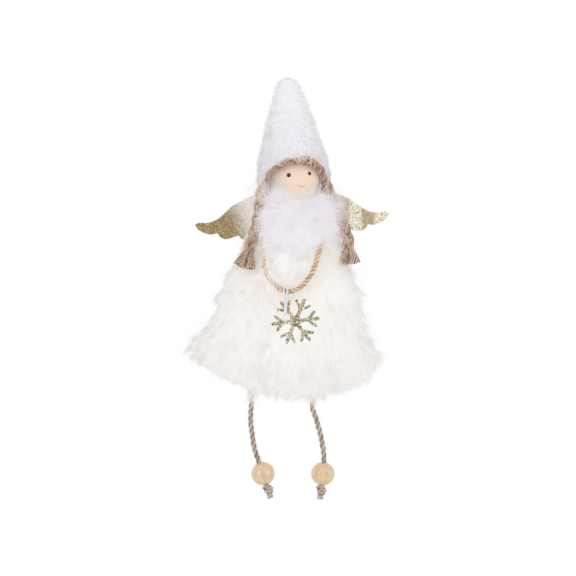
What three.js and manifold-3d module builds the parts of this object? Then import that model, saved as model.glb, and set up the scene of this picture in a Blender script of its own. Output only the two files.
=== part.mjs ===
// A hanging plush angel doll: a stuffed bell dress, a wooden ball head under a plush hat, twine
// hair with two plaits, a fluffy scarf, a glitter wing sheet, a necklace with a snowflake, and
// two twine legs that end in wooden beads.
// Millimetres. +Z is up, +X is the viewer's right, the doll faces -Y. The hat's tip is the origin.
import * as THREE from "three";
import { mergeVertices } from "three/addons/utils/BufferGeometryUtils.js";
import Module from "manifold-3d";

const wasm = await Module();
wasm.setup();

// Gap that neighbours keep
const CLEAR = 0.3;

// Head: a wooden ball below the hat's tip, a little forward and to the right of the hat's axis
const HEAD_D = 21;
const HEAD_BELOW_TIP = 40.9;
const HEAD_SIDE = 1.3;
const HEAD_FORWARD = 1;
const HEAD_ROLL_DEG = 4;
const FACE_YAW_DEG = 6;

// Neck peg, glued into the head and the stuffing
const PEG_D = 5;
const PEG_IN_HEAD = 6.5;
const PEG_IN_BODY = 9;

// Hat: tip to rim at the sides, with the rim raised over the face and lowered behind
const HAT_HEIGHT = 43.2;
const HAT_R = 14.6;
const HAT_WALL = 3;
const HAT_TIP_WALL = 6;
const HAT_RIM_RISE = 10.4;
const HAT_RIM_DROP = 5;
const HAT_LIP = 0.8;
const HAT_FILL_ABOVE_HEAD_CENTRE = 9;
const HAT_SIDES = 24;
// Shares of the height and of the radius, from the tip down
const HAT_PROFILE = [
  [0, 0],
  [0.012, 0.18],
  [0.04, 0.28],
  [0.09, 0.33],
  [0.2, 0.41],
  [0.32, 0.53],
  [0.43, 0.64],
  [0.55, 0.73],
  [0.67, 0.84],
  [0.78, 0.96],
  [0.9, 1],
  [1.3, 1],
];

// Hair roll over the forehead, round the face from temple to temple
const FRINGE_D = 4;
const FRINGE_TOP_DEG = 30;
const FRINGE_FALL_DEG = 42;
const FRINGE_FALL_AT_DEG = 60;
const FRINGE_END_DEG = 66;
// The face is turned, so on the left the roll reaches further round
const FRINGE_LEFT_FALL_AT_DEG = 85;
const FRINGE_LEFT_END_DEG = 90;
const FRINGE_LEFT_OUT = 0.8;
const FRINGE_LOBES = 3;
const FRINGE_LOBE_DEPTH = 0.22;
const FRINGE_TURNS = 3;

// Plaits: three strands each
const STRAND_D = 1.6;
const PLAIT_SWING = 1.75;
const PLAIT_DEPTH = 1.3;
const PLAIT_PITCH = 18;
const PLAIT_TAIL = 7;
const PLAIT_TAIL_SPREAD = 2.4;
// Centre lines, from the temples down
const LEFT_PLAIT = [
  [-10.9, -5.4, -48],
  [-11.8, -6.2, -52],
  [-12.8, -8.2, -58.4],
  [-14.4, -10.8, -65.1],
  [-16.2, -12.7, -70.6],
  [-17.2, -13.9, -74.3],
  [-18.3, -14.9, -79],
];
const RIGHT_PLAIT = [
  [17.8, -4.6, -47.6],
  [19, -5, -51.4],
  [20.8, -5.8, -56],
  [23.4, -6.8, -61.3],
  [24.9, -7.4, -65.1],
  [25.8, -8, -70.6],
  [26.4, -8.4, -77.6],
];

// Dress: two plush panels sewn along the sides and the curved hem, over stuffing
const NECK_BELOW_TIP = 50;
const NECK_SIDE = 2.9;
const BODY_TILT_DEG = 3.5;
const NECK_DROP = 3;
const DRESS_LENGTH = 80.6;
const DRESS_HALF_WIDTH = 38.8;
const DRESS_HALF_DEPTH = 16.8;
const HEM_CURVE_R = 53.8;
const DRESS_WALL = 5;
const FILL_FROM = 0.06;
const FILL_TO = 0.95;
// Shares of the length, of the half width and of the half depth, from the neck to the hem
const DRESS_STATIONS = [
  [0, 0.19, 0.45],
  [0.06, 0.32, 0.69],
  [0.13, 0.42, 0.81],
  [0.22, 0.525, 0.88],
  [0.35, 0.63, 0.94],
  [0.43, 0.71, 0.975],
  [0.54, 0.75, 1],
  [0.605, 0.742, 0.99],
  [0.69, 0.81, 0.975],
  [0.78, 0.9, 0.93],
  [0.88, 0.98, 0.78],
  [0.95, 1, 0.51],
  [1, 0.985, 0.15],
];
const DRESS_SIDES = 28;

// Scarf: a fluffy roll round the neck, with a tail on the chest
const SCARF_ROLL_R = 4;
const SCARF_HALF_WIDTH = 12.2;
const SCARF_BELOW_NECK = 4.8;
const SCARF_SIDE = 0.8;
// Depth below the neck, middle (x, y), half width and half depth of the tail
const SCARF_TAIL = [
  [1, 0, -9.5, 6, 2.4],
  [5, 0.5, -12, 10.5, 4],
  [10, 0.8, -14.2, 11.4, 4.2],
  [15, 0.8, -15.8, 9.8, 3.8],
  [20, -0.6, -16.6, 6.8, 3.2],
  [24, -2.2, -17, 4, 2.4],
  [27, -3, -17.4, 1.4, 1],
];
const SCARF_TAIL_SIDES = 18;

// Wings: one sheet behind the hat's and the scarf's back
const WING_THICKNESS = 2;
const WING_SPAN = 82.6;
const WING_BELOW_TIP = 58.2;
const WING_SIDE = 2.1;
const WING_ROLL_DEG = 3.5;

// Necklace, pendant thread and snowflake
const NECKLACE_D = 2.3;
const THREAD_D = 0.9;
const THREAD_DROP = 8;
const FLAKE_R = 10.1;
const FLAKE_THICKNESS = 2;
const FLAKE_ARM_WIDTH = 1.5;
const FLAKE_BRANCH_WIDTH = 1.2;
const FLAKE_BRANCH_AT = 5.2;
const FLAKE_BRANCH_LENGTH = 4.6;
const FLAKE_BRANCH_DEG = 45;
const FLAKE_HUB_R = 2.5;
const FLAKE_TURN_DEG = 7;
const FLAKE_ARMS = 6;
// Which arm hangs on the thread, and how far out
const FLAKE_HUNG_ARM = 2;
const FLAKE_HUNG_AT = 6.8;
// The necklace's route from the left shoulder to the right one
const NECKLACE = [
  [-10.2, -11.6, -64],
  [-10.3, -14, -67.5],
  [-10, -16.4, -72],
  [-9.6, -17.8, -77.5],
  [-8.3, -18.5, -82.3],
  [-5.2, -19.2, -86.2],
  [-0.6, -19.6, -89.2],
  [3.6, -19.5, -88.6],
  [7, -19, -86.2],
  [10.6, -17.9, -81.1],
  [13, -15.9, -73.6],
  [14.6, -13, -67.4],
  [15.2, -11.6, -64],
];
const NECKLACE_LOWEST = 6;

// Legs: twine sewn into the hem, with a bead and a knot
const LEG_D = 2.1;
const LEG_SPACING = 25.6;
const LEG_ANCHOR = 3.4;
const LEG_ROOT = 2.6;
const BEAD_D = 10;
const BEAD_BORE_D = 3.2;
const KNOT_WRAP_R = 1.3;
const KNOT_WRAP_TILTS = [0.5, -0.55];
const KNOT_WRAP_RISES = [0.7, -0.8];
const KNOT_TAIL = 3.4;
const KNOT_TAIL_BELOW = 0.5;
// Routes below the upper bend, and where the beads hang and lean
const LEFT_LEG = [
  [0, 0, 0],
  [-0.3, 0, -2.9],
  [-0.3, 0, -7.9],
  [0.4, 0, -13.7],
  [1.3, 0, -19],
];
const LEFT_BEAD_AT = [4.8, 0, -29.3];
const LEFT_BEAD_LEAN_DEG = 19;
const RIGHT_LEG = [
  [0, 0, 0],
  [0.7, 0, -2.4],
  [1.8, 0, -5.5],
  [3.1, 0, -10.3],
  [4.2, 0, -15.4],
];
const RIGHT_BEAD_AT = [4.4, 0, -27.8];
const RIGHT_BEAD_LEAN_DEG = -5;

const rad = THREE.MathUtils.degToRad;
const vectors = (points) => points.map((p) => new THREE.Vector3(...p));

// Groups: the head end rolls one way, the dress tilts the other way
const doll = new THREE.Group();
const top = new THREE.Group();
const head = new THREE.Group();
const body = new THREE.Group();
const wingGroup = new THREE.Group();
doll.add(top, body, wingGroup);
top.add(head);
top.rotation.y = -rad(HEAD_ROLL_DEG);
head.position.set(HEAD_SIDE, -HEAD_FORWARD, -HEAD_BELOW_TIP);
head.rotation.z = rad(FACE_YAW_DEG);
body.position.set(NECK_SIDE, 0, -NECK_BELOW_TIP);
body.rotation.y = rad(BODY_TILT_DEG);
const wingFront = HAT_R + 2 * CLEAR;
wingGroup.position.set(WING_SIDE, wingFront, -WING_BELOW_TIP);
wingGroup.rotation.y = -rad(WING_ROLL_DEG);
doll.updateMatrixWorld(true);

const finish = (color, roughness) => new THREE.MeshStandardMaterial({ color, roughness });
const hatPlush = finish(0xedebf0, 0.95);
const dressPlush = finish(0xf4f1ea, 0.95);
const down = finish(0xe9e8f0, 0.95);
const fibre = finish(0xf6f6f4, 1);
const hairTwine = finish(0xb89e8c, 0.9);
const legTwine = finish(0xa8927f, 0.9);
const goldTwine = finish(0xc9a98a, 0.9);
const paintedWood = finish(0xeed9c2, 0.5);
const bareWood = finish(0xd5b384, 0.6);
const varnishedWood = finish(0xe3c79e, 0.25);
const glitterSheet = finish(0xb59f73, 0.4);
const glitterFlake = finish(0xa39872, 0.4);
const whiteThread = finish(0xf2f2f2, 0.8);

function place(name, geometry, material, group) {
  const mesh = new THREE.Mesh(geometry, material);
  mesh.name = name;
  group.add(mesh);
  mesh.updateMatrixWorld(true);
  return mesh;
}

// A geometry as a solid in the doll's frame
function solid(geometry, group = doll) {
  const bare = geometry.index ? geometry.toNonIndexed() : geometry;
  const placed = new THREE.BufferGeometry();
  placed.setAttribute("position", bare.getAttribute("position").clone());
  placed.applyMatrix4(group.matrixWorld);
  const merged = mergeVertices(placed, 1e-4);
  const made = new wasm.Mesh({
    numProp: 3,
    vertProperties: merged.getAttribute("position").array,
    triVerts: new Uint32Array(merged.index.array),
  });
  return new wasm.Manifold(made);
}

// A solid of the doll's frame as a geometry of a group's frame
function shape(made, group = doll) {
  const mesh = made.getMesh();
  const geometry = new THREE.BufferGeometry();
  geometry.setAttribute("position", new THREE.BufferAttribute(mesh.vertProperties, 3));
  geometry.setIndex(new THREE.BufferAttribute(mesh.triVerts, 1));
  geometry.applyMatrix4(group.matrixWorld.clone().invert());
  geometry.computeVertexNormals();
  return geometry;
}

// A closed skin over rings of equal length. A ring of one point is a pole. A last or first ring
// that isn't a pole is closed across, point to mirrored point.
function skin(rings) {
  const points = rings.flat();
  const starts = [];
  let count = 0;
  for (const ring of rings) {
    starts.push(count);
    count += ring.length;
  }
  const index = [];
  const sides = Math.max(...rings.map((ring) => ring.length));
  const at = (i, j) => starts[i] + (rings[i].length === 1 ? 0 : j % sides);
  for (let i = 0; i + 1 < rings.length; i++) {
    for (let j = 0; j < sides; j++) {
      const [a, b, c, d] = [at(i, j), at(i + 1, j), at(i, j + 1), at(i + 1, j + 1)];
      if (a !== c) index.push(a, b, c);
      if (b !== d) index.push(c, b, d);
    }
  }
  const across = (i, up) => {
    if (rings[i].length === 1) return;
    for (let j = 0; j < sides / 2; j++) {
      const [a, b] = [at(i, j), at(i, j + 1)];
      const [c, d] = [at(i, sides - j - 1), at(i, sides - j)];
      if (b !== c) index.push(...(up ? [a, b, c] : [a, c, b]));
      if (a !== d) index.push(...(up ? [a, c, d] : [a, d, c]));
    }
  };
  across(0, true);
  across(rings.length - 1, false);
  const geometry = new THREE.BufferGeometry().setFromPoints(points);
  geometry.setIndex(index);
  return geometry;
}

// Value at a place in rows that start with their place
function between(rows, place) {
  let i = 0;
  while (i + 2 < rows.length && rows[i + 1][0] < place) i++;
  const [from, to] = [rows[i], rows[i + 1]];
  const share = THREE.MathUtils.clamp((place - from[0]) / (to[0] - from[0]), 0, 1);
  return from.slice(1).map((value, k) => value + (to[k + 1] - value) * share);
}

// A round cord along points, with square ends
function cord(points, diameter, steps, sides = 8) {
  const section = new THREE.Shape();
  for (let k = 0; k < sides; k++) {
    const angle = (2 * Math.PI * k) / sides;
    const [x, y] = [(diameter / 2) * Math.cos(angle), (diameter / 2) * Math.sin(angle)];
    if (k === 0) section.moveTo(x, y);
    else section.lineTo(x, y);
  }
  section.closePath();
  const extrudePath = new THREE.CatmullRomCurve3(vectors(points), false, "centripetal");
  return new THREE.ExtrudeGeometry(section, { steps, extrudePath, bevelEnabled: false });
}

// The same cord with balls on the named ends, so that it can turn there
function cordWithBalls(points, diameter, steps, ends) {
  let made = solid(cord(points, diameter, steps));
  for (const end of ends) {
    const ball = new THREE.SphereGeometry(diameter / 2, 8, 6);
    made = made.add(solid(ball.translate(...points.at(end))));
  }
  return shape(made);
}

// Head ball, with the peg's hole below
const headR = HEAD_D / 2;
const headGrown = solid(new THREE.SphereGeometry(headR + CLEAR, 28, 18), head);
const headInBody = body.worldToLocal(head.getWorldPosition(new THREE.Vector3()));
const pegTop = headInBody.z - headR + PEG_IN_HEAD;
const pegBottom = -NECK_DROP - PEG_IN_BODY;
function peg(grow) {
  const length = pegTop - pegBottom + 2 * grow;
  const made = new THREE.CylinderGeometry(PEG_D / 2 + grow, PEG_D / 2 + grow, length, 20);
  made.rotateX(Math.PI / 2);
  return made.translate(headInBody.x, headInBody.y, (pegTop + pegBottom) / 2);
}
const pegGrown = solid(peg(CLEAR), body);
const ball = solid(new THREE.SphereGeometry(headR, 28, 18), head).subtract(pegGrown);
place("head_ball", shape(ball, head), paintedWood, head);
place("neck_peg", peg(0), bareWood, body);

// Hair roll: a twisted section along an arc round the face
const fringeR = FRINGE_D / 2;
const fringePath = [];
for (let k = 0; k <= 16; k++) {
  const turn = THREE.MathUtils.lerp(-FRINGE_LEFT_END_DEG, FRINGE_END_DEG, k / 16);
  const fallAt = turn < 0 ? FRINGE_LEFT_FALL_AT_DEG : FRINGE_FALL_AT_DEG;
  const rise = rad(FRINGE_TOP_DEG - FRINGE_FALL_DEG * (turn / fallAt) ** 2);
  const leftward = Math.min(1, Math.max(0, -turn / FRINGE_FALL_AT_DEG));
  const out = headR + CLEAR + fringeR + FRINGE_LEFT_OUT * leftward;
  const flat = out * Math.cos(rise);
  fringePath.push([flat * Math.sin(rad(turn)), -flat * Math.cos(rad(turn)), out * Math.sin(rise)]);
}
function hairRoll(radius, lobeDepth) {
  const path = new THREE.CatmullRomCurve3(vectors(fringePath));
  const [steps, sides] = [30, 12];
  const frames = path.computeFrenetFrames(steps, false);
  const length = path.getLength();
  const rings = [];
  for (let i = 0; i <= steps; i++) {
    const middle = path.getPointAt(i / steps);
    const fromEnd = Math.min(i, steps - i) * (length / steps);
    if (fromEnd === 0) {
      rings.push([middle.clone().addScaledVector(frames.tangents[i], i === 0 ? -radius : radius)]);
      continue;
    }
    const ring = [];
    for (let j = 0; j < sides; j++) {
      const angle = (-2 * Math.PI * j) / sides;
      const twist = (FRINGE_TURNS * 2 * Math.PI * i) / steps;
      const lobe = (1 - Math.cos(FRINGE_LOBES * (angle - twist))) / 2;
      const reach = radius * (1 - lobeDepth * lobe);
      const point = middle.clone().addScaledVector(frames.normals[i], reach * Math.cos(angle));
      ring.push(point.addScaledVector(frames.binormals[i], reach * Math.sin(angle)));
    }
    rings.push(ring);
  }
  return skin(rings);
}
const fringeGrown = solid(hairRoll(fringeR + CLEAR, 0), head);
place("hair_fringe", hairRoll(fringeR, FRINGE_LOBE_DEPTH), hairTwine, head);

// Hat: outer and inner skins that meet at a slanted, rounded rim
const hatRadius = (depth) => HAT_R * between(HAT_PROFILE, depth / HAT_HEIGHT)[0];
function hatRim(angle) {
  const front = -Math.sin(angle);
  return HAT_HEIGHT - front * (front > 0 ? HAT_RIM_RISE : HAT_RIM_DROP);
}
function hatRing(share, inset, lower = 0) {
  const ring = [];
  for (let j = 0; j < HAT_SIDES; j++) {
    const angle = (2 * Math.PI * j) / HAT_SIDES;
    const depth = share * hatRim(angle);
    const reach = hatRadius(depth) - inset;
    const point = [reach * Math.cos(angle), reach * Math.sin(angle), -depth - lower];
    ring.push(new THREE.Vector3(...point));
  }
  return ring;
}
const hatShares = [0.012, 0.04, 0.09, 0.2, 0.32, 0.43, 0.55, 0.67, 0.78, 0.88, 1];
const innerTop = (HAT_TIP_WALL + HAT_WALL) / HAT_HEIGHT;
const innerShares = hatShares.filter((share) => share > innerTop).reverse();
const hatSkin = skin([
  [new THREE.Vector3(0, 0, 0)],
  ...hatShares.map((share) => hatRing(share, 0)),
  hatRing(1, HAT_WALL / 2, HAT_LIP),
  ...innerShares.map((share) => hatRing(share, HAT_WALL)),
  [new THREE.Vector3(0, 0, -HAT_TIP_WALL)],
]);
const hatCut = solid(hatSkin, top).subtract(headGrown).subtract(fringeGrown);
const hatSolid = hatCut.decompose().sort((a, b) => b.volume() - a.volume())[0];
place("hat", shape(hatSolid, top), hatPlush, top);

// Hat stuffing: fills the hat from its tip down to the crown of the head
const fillShares = innerShares.filter((share) => share < 0.8).reverse();
const fillSkin = skin([
  [new THREE.Vector3(0, 0, -HAT_TIP_WALL - HAT_WALL / 2)],
  ...fillShares.map((share) => hatRing(share, HAT_WALL + CLEAR)),
]);
const fillFloor = HEAD_BELOW_TIP - HAT_FILL_ABOVE_HEAD_CENTRE;
const belowFill = new THREE.BoxGeometry(4 * HAT_R, 4 * HAT_R, 2 * HAT_HEIGHT);
belowFill.translate(0, 0, -fillFloor - HAT_HEIGHT);
const hatFill = solid(fillSkin, top)
  .subtract(headGrown)
  .subtract(fringeGrown)
  .subtract(solid(belowFill, top));
place("hat_stuffing", shape(hatFill, top), fibre, top);

// Plaits: each strand weaves over and under the others, then hangs loose at the cut end
function strand(points, side, number) {
  const middle = new THREE.CatmullRomCurve3(vectors(points));
  const length = middle.getLength();
  const woven = length - PLAIT_TAIL;
  const route = [];
  const count = 30;
  for (let i = 0; i <= count; i++) {
    const along = (i / count) * length;
    const phase = 2 * Math.PI * ((Math.min(along, woven) - woven) / PLAIT_PITCH + number / 3);
    const turned = phase + Math.PI / 2;
    const loose = Math.max(0, along - woven) / PLAIT_TAIL;
    const across = PLAIT_SWING * Math.sin(turned) + loose * PLAIT_TAIL_SPREAD * [1, 0, -1][number];
    const deep = PLAIT_DEPTH * Math.sin(2 * turned);
    const tangent = middle.getTangentAt(i / count);
    const wide = tangent.clone().cross(new THREE.Vector3(0, 1, 0)).normalize();
    const thick = wide.clone().cross(tangent).normalize();
    const point = middle.getPointAt(i / count);
    point.addScaledVector(wide, side * across).addScaledVector(thick, deep);
    route.push(point.toArray());
  }
  return cord(route, STRAND_D, count, 6);
}
for (const [name, points, side] of [["left", LEFT_PLAIT, 1], ["right", RIGHT_PLAIT, -1]]) {
  for (let number = 0; number < 3; number++) {
    const made = strand(points, side, number);
    place(`${name}_plait_strand_${number + 1}`, made, hairTwine, doll);
  }
}

// Dress: rings that follow the curved hem, pulled in to a sewn edge
function hemHeight(x) {
  return -NECK_DROP - DRESS_LENGTH + (x * x) / (2 * HEM_CURVE_R);
}
function dressRing(share, inset) {
  const [wide, deep] = between(DRESS_STATIONS, share);
  const ring = [];
  for (let j = 0; j < DRESS_SIDES; j++) {
    const angle = (2 * Math.PI * j) / DRESS_SIDES;
    const x = (DRESS_HALF_WIDTH * wide - inset) * Math.cos(angle);
    const y = (DRESS_HALF_DEPTH * deep - inset) * Math.sin(angle);
    const z = -NECK_DROP + share * (hemHeight(x) + NECK_DROP);
    ring.push(new THREE.Vector3(x, y, z));
  }
  return ring;
}
function dressForm(inset, from, to) {
  const shares = DRESS_STATIONS.map((row) => row[0]).filter((t) => t > from && t < to);
  return skin([from, ...shares, to].map((share) => dressRing(share, inset)));
}
const dressSolid = solid(dressForm(0, 0, 1), body);
const fillEnd = CLEAR / DRESS_LENGTH;
const dressGrown = solid(dressForm(-CLEAR, -fillEnd, 1 + fillEnd), body);
const dressHollow = solid(dressForm(DRESS_WALL, FILL_FROM, FILL_TO), body);
const fillForm = dressForm(DRESS_WALL + CLEAR, FILL_FROM + fillEnd, FILL_TO - fillEnd);
place("body_stuffing", shape(solid(fillForm, body).subtract(pegGrown), body), fibre, body);

// Leg anchors in the hem seam
const legR = LEG_D / 2;
const hemAtLegs = hemHeight(LEG_SPACING / 2);
function anchor(side, grow) {
  const made = new THREE.CylinderGeometry(legR + grow, legR + grow, LEG_ANCHOR + 2 * grow, 12);
  made.rotateX(Math.PI / 2);
  return made.translate((side * LEG_SPACING) / 2, 0, hemAtLegs + LEG_ANCHOR / 2);
}
const anchorsGrown = [-1, 1].map((side) => solid(anchor(side, CLEAR), body));

// The two panels, parted at the seam
const roomy = 4 * (DRESS_HALF_WIDTH + NECK_DROP + DRESS_LENGTH);
let dressWall = dressSolid.subtract(dressHollow).subtract(pegGrown);
for (const grown of anchorsGrown) dressWall = dressWall.subtract(grown);
for (const [name, side] of [["dress_front", -1], ["dress_back", 1]]) {
  const room = new THREE.BoxGeometry(roomy, roomy, roomy);
  room.translate(0, side * (roomy / 2 + CLEAR / 2), 0);
  const panel = dressWall.intersect(solid(room, body));
  place(name, shape(panel, body), dressPlush, body);
}

// Scarf: roll and tail, seated on the dress and under the chin
const rollAcross = SCARF_HALF_WIDTH - SCARF_ROLL_R;
const rollBack = wingFront - CLEAR - SCARF_ROLL_R;
const roll = new THREE.TorusGeometry(1, SCARF_ROLL_R / rollAcross, 10, 28);
roll.scale(rollAcross, rollAcross, rollAcross);
const rollPoints = roll.getAttribute("position");
for (let i = 0; i < rollPoints.count; i++) {
  const [x, y] = [rollPoints.getX(i), rollPoints.getY(i)];
  const around = Math.atan2(y, x);
  const stretch = (rollBack - rollAcross) * Math.abs(Math.sin(around));
  rollPoints.setXY(i, x, y + stretch * Math.sign(y));
}
roll.translate(SCARF_SIDE, 0, -SCARF_BELOW_NECK);
const tailRings = SCARF_TAIL.map(([depth, x, y, wide, deep]) => {
  const ring = [];
  for (let j = 0; j < SCARF_TAIL_SIDES; j++) {
    const angle = (2 * Math.PI * j) / SCARF_TAIL_SIDES;
    ring.push(new THREE.Vector3(x + wide * Math.cos(angle), y + deep * Math.sin(angle), -depth));
  }
  return ring;
});
const scarf = solid(roll, body)
  .add(solid(skin(tailRings), body))
  .subtract(dressGrown)
  .subtract(headGrown)
  .subtract(fringeGrown)
  .subtract(pegGrown);
place("fluff_scarf", shape(scarf, body), down, body);

// Wings: a long first feather and two shorter ones on each side
const wingUnit = WING_SPAN / 2;
function wingOutline() {
  const upper = [
    [0.16, 0.2],
    [0.36, 0.262],
    [0.475, 0.222],
    [0.6, 0.165],
    [0.68, 0.1],
    [0.77, 0.035],
    [0.87, 0.004],
    [0.95, 0.012],
    [1, -0.006],
  ];
  const feathers = [
    [[0.97, -0.058], [0.9, -0.102], [0.83, -0.117], [0.772, -0.108]],
    [[0.752, -0.144], [0.7, -0.173], [0.63, -0.163], [0.56, -0.142]],
    [[0.53, -0.18], [0.46, -0.204], [0.37, -0.19], [0.28, -0.15]],
  ];
  const outline = new THREE.Shape();
  const side = (points, way) => points.map(([x, y]) => new THREE.Vector2(way * x * wingUnit, y * wingUnit));
  outline.moveTo(0, 0.14 * wingUnit);
  outline.splineThru(side(upper, 1));
  for (const feather of feathers) outline.splineThru(side(feather, 1));
  outline.lineTo(0, -0.14 * wingUnit);
  const back = feathers.map((feather) => [...feather].reverse()).reverse();
  for (const feather of back) {
    const [first, ...rest] = side(feather, -1);
    outline.lineTo(first.x, first.y);
    outline.splineThru(rest);
  }
  const [tip, ...inward] = side([...upper].reverse(), -1);
  outline.splineThru([tip]);
  outline.splineThru(inward);
  outline.closePath();
  return outline;
}
const wingSheet = new THREE.ExtrudeGeometry(wingOutline(), {
  depth: WING_THICKNESS,
  bevelEnabled: false,
  curveSegments: 3,
});
wingSheet.rotateX(Math.PI / 2).translate(0, WING_THICKNESS, 0);
place("wings", wingSheet, glitterSheet, wingGroup);

// Necklace: ends round at the shoulders, where it turns
place("necklace_cord", cordWithBalls(NECKLACE, NECKLACE_D, 30, [0, -1]), goldTwine, doll);

// Snowflake: arms and branches in a ring pattern
function bar(length, width) {
  const outline = new THREE.Shape();
  outline.moveTo(0, -width / 2);
  outline.lineTo(length - width / 2, -width / 2);
  outline.absarc(length - width / 2, 0, width / 2, -Math.PI / 2, Math.PI / 2, false);
  outline.lineTo(0, width / 2);
  outline.closePath();
  const options = { depth: FLAKE_THICKNESS, bevelEnabled: false, curveSegments: 4 };
  return new THREE.ExtrudeGeometry(outline, options);
}
const hub = new THREE.CylinderGeometry(FLAKE_HUB_R, FLAKE_HUB_R, FLAKE_THICKNESS, FLAKE_ARMS);
hub.rotateX(Math.PI / 2).rotateZ(rad(FLAKE_TURN_DEG)).translate(0, 0, FLAKE_THICKNESS / 2);
let flake = solid(hub);
for (let k = 0; k < FLAKE_ARMS; k++) {
  const turn = rad(FLAKE_TURN_DEG) + (2 * Math.PI * k) / FLAKE_ARMS;
  flake = flake.add(solid(bar(FLAKE_R, FLAKE_ARM_WIDTH).rotateZ(turn)));
  for (const side of [-1, 1]) {
    const branch = bar(FLAKE_BRANCH_LENGTH, FLAKE_BRANCH_WIDTH).rotateZ(side * rad(FLAKE_BRANCH_DEG));
    flake = flake.add(solid(branch.translate(FLAKE_BRANCH_AT, 0, 0).rotateZ(turn)));
  }
}

// The thread goes round the necklace above and under the hung arm below, so the arm's lower
// edge on the thread's line sets where the snowflake hangs
const threadR = THREAD_D / 2;
const threadBend = NECKLACE_D / 2 + CLEAR + threadR;
const hungTurn = rad(FLAKE_TURN_DEG) + (2 * Math.PI * FLAKE_HUNG_ARM) / FLAKE_ARMS;
const hungOut = FLAKE_HUNG_AT;
const hung = new THREE.Group();
hung.position.set(...NECKLACE[NECKLACE_LOWEST]);
doll.add(hung);
hung.updateMatrixWorld(true);
const threadLow = -THREAD_DROP - threadBend;
const threadRise = threadBend - Math.sqrt(threadBend ** 2 - (FLAKE_THICKNESS / 2) ** 2);
const armOff = threadR + threadRise + CLEAR + FLAKE_ARM_WIDTH / 2;
const overThread = armOff / Math.abs(Math.cos(hungTurn));
const flakeX = -hungOut * Math.cos(hungTurn);
const flakeZ = threadLow + overThread - hungOut * Math.sin(hungTurn);
const flakeGeometry = shape(flake).translate(0, 0, -FLAKE_THICKNESS / 2).rotateX(Math.PI / 2);
place("snowflake", flakeGeometry.translate(flakeX, 0, flakeZ), glitterFlake, hung);

function threadLoop() {
  const rings = [];
  const [bends, sides] = [8, 8];
  const middles = [];
  for (const [low, from] of [[0, 0], [-THREAD_DROP, Math.PI]]) {
    for (let i = 0; i <= bends; i++) {
      const angle = from + (Math.PI * i) / bends;
      middles.push([threadBend * Math.cos(angle), low + threadBend * Math.sin(angle), angle]);
    }
  }
  for (const [y, z, angle] of middles) {
    const ring = [];
    for (let j = 0; j < sides; j++) {
      const turn = (2 * Math.PI * j) / sides;
      const out = threadR * Math.cos(turn);
      const x = threadR * Math.sin(turn);
      ring.push(new THREE.Vector3(x, y + out * Math.cos(angle), z + out * Math.sin(angle)));
    }
    rings.push(ring);
  }
  const index = [];
  for (let i = 0; i < rings.length; i++) {
    for (let j = 0; j < sides; j++) {
      const at = (k, n) => (k % rings.length) * sides + (n % sides);
      const [a, b, c, d] = [at(i, j), at(i + 1, j), at(i, j + 1), at(i + 1, j + 1)];
      index.push(a, b, c, c, b, d);
    }
  }
  const geometry = new THREE.BufferGeometry().setFromPoints(rings.flat());
  geometry.setIndex(index);
  return geometry;
}
place("pendant_thread", threadLoop(), whiteThread, hung);

// Beads: balls with a bore
function bead() {
  const bore = BEAD_BORE_D / 2;
  const edge = Math.asin(bore / (BEAD_D / 2));
  const profile = [];
  for (let i = 0; i <= 10; i++) {
    const angle = edge + ((Math.PI - 2 * edge) * i) / 10;
    const [r, h] = [(BEAD_D / 2) * Math.sin(angle), (-BEAD_D / 2) * Math.cos(angle)];
    profile.push(new THREE.Vector2(r, h));
  }
  profile.push(profile[0].clone());
  return new THREE.LatheGeometry(profile, 20).rotateX(Math.PI / 2);
}
const beadFace = Math.sqrt((BEAD_D / 2) ** 2 - (BEAD_BORE_D / 2) ** 2);

// Knots: two crossed wraps and a cut tail
function knot() {
  let made = null;
  const radius = legR * 0.95;
  for (const [k, tilt] of KNOT_WRAP_TILTS.entries()) {
    const wrap = new THREE.TorusGeometry(KNOT_WRAP_R, radius, 6, 12);
    wrap.rotateX(tilt).rotateY(tilt / 2);
    const turned = solid(wrap.translate(0, 0, KNOT_WRAP_RISES[k]));
    made = made ? made.add(turned) : turned;
  }
  const tail = new THREE.CylinderGeometry(legR * 0.95, legR * 1.25, KNOT_TAIL, 9);
  return made.add(solid(tail.rotateX(Math.PI / 2).translate(0, 0, -KNOT_TAIL / 2 - KNOT_TAIL_BELOW)));
}
const knotForm = knot();
const knotTop = knotForm.boundingBox().max[2];

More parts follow.
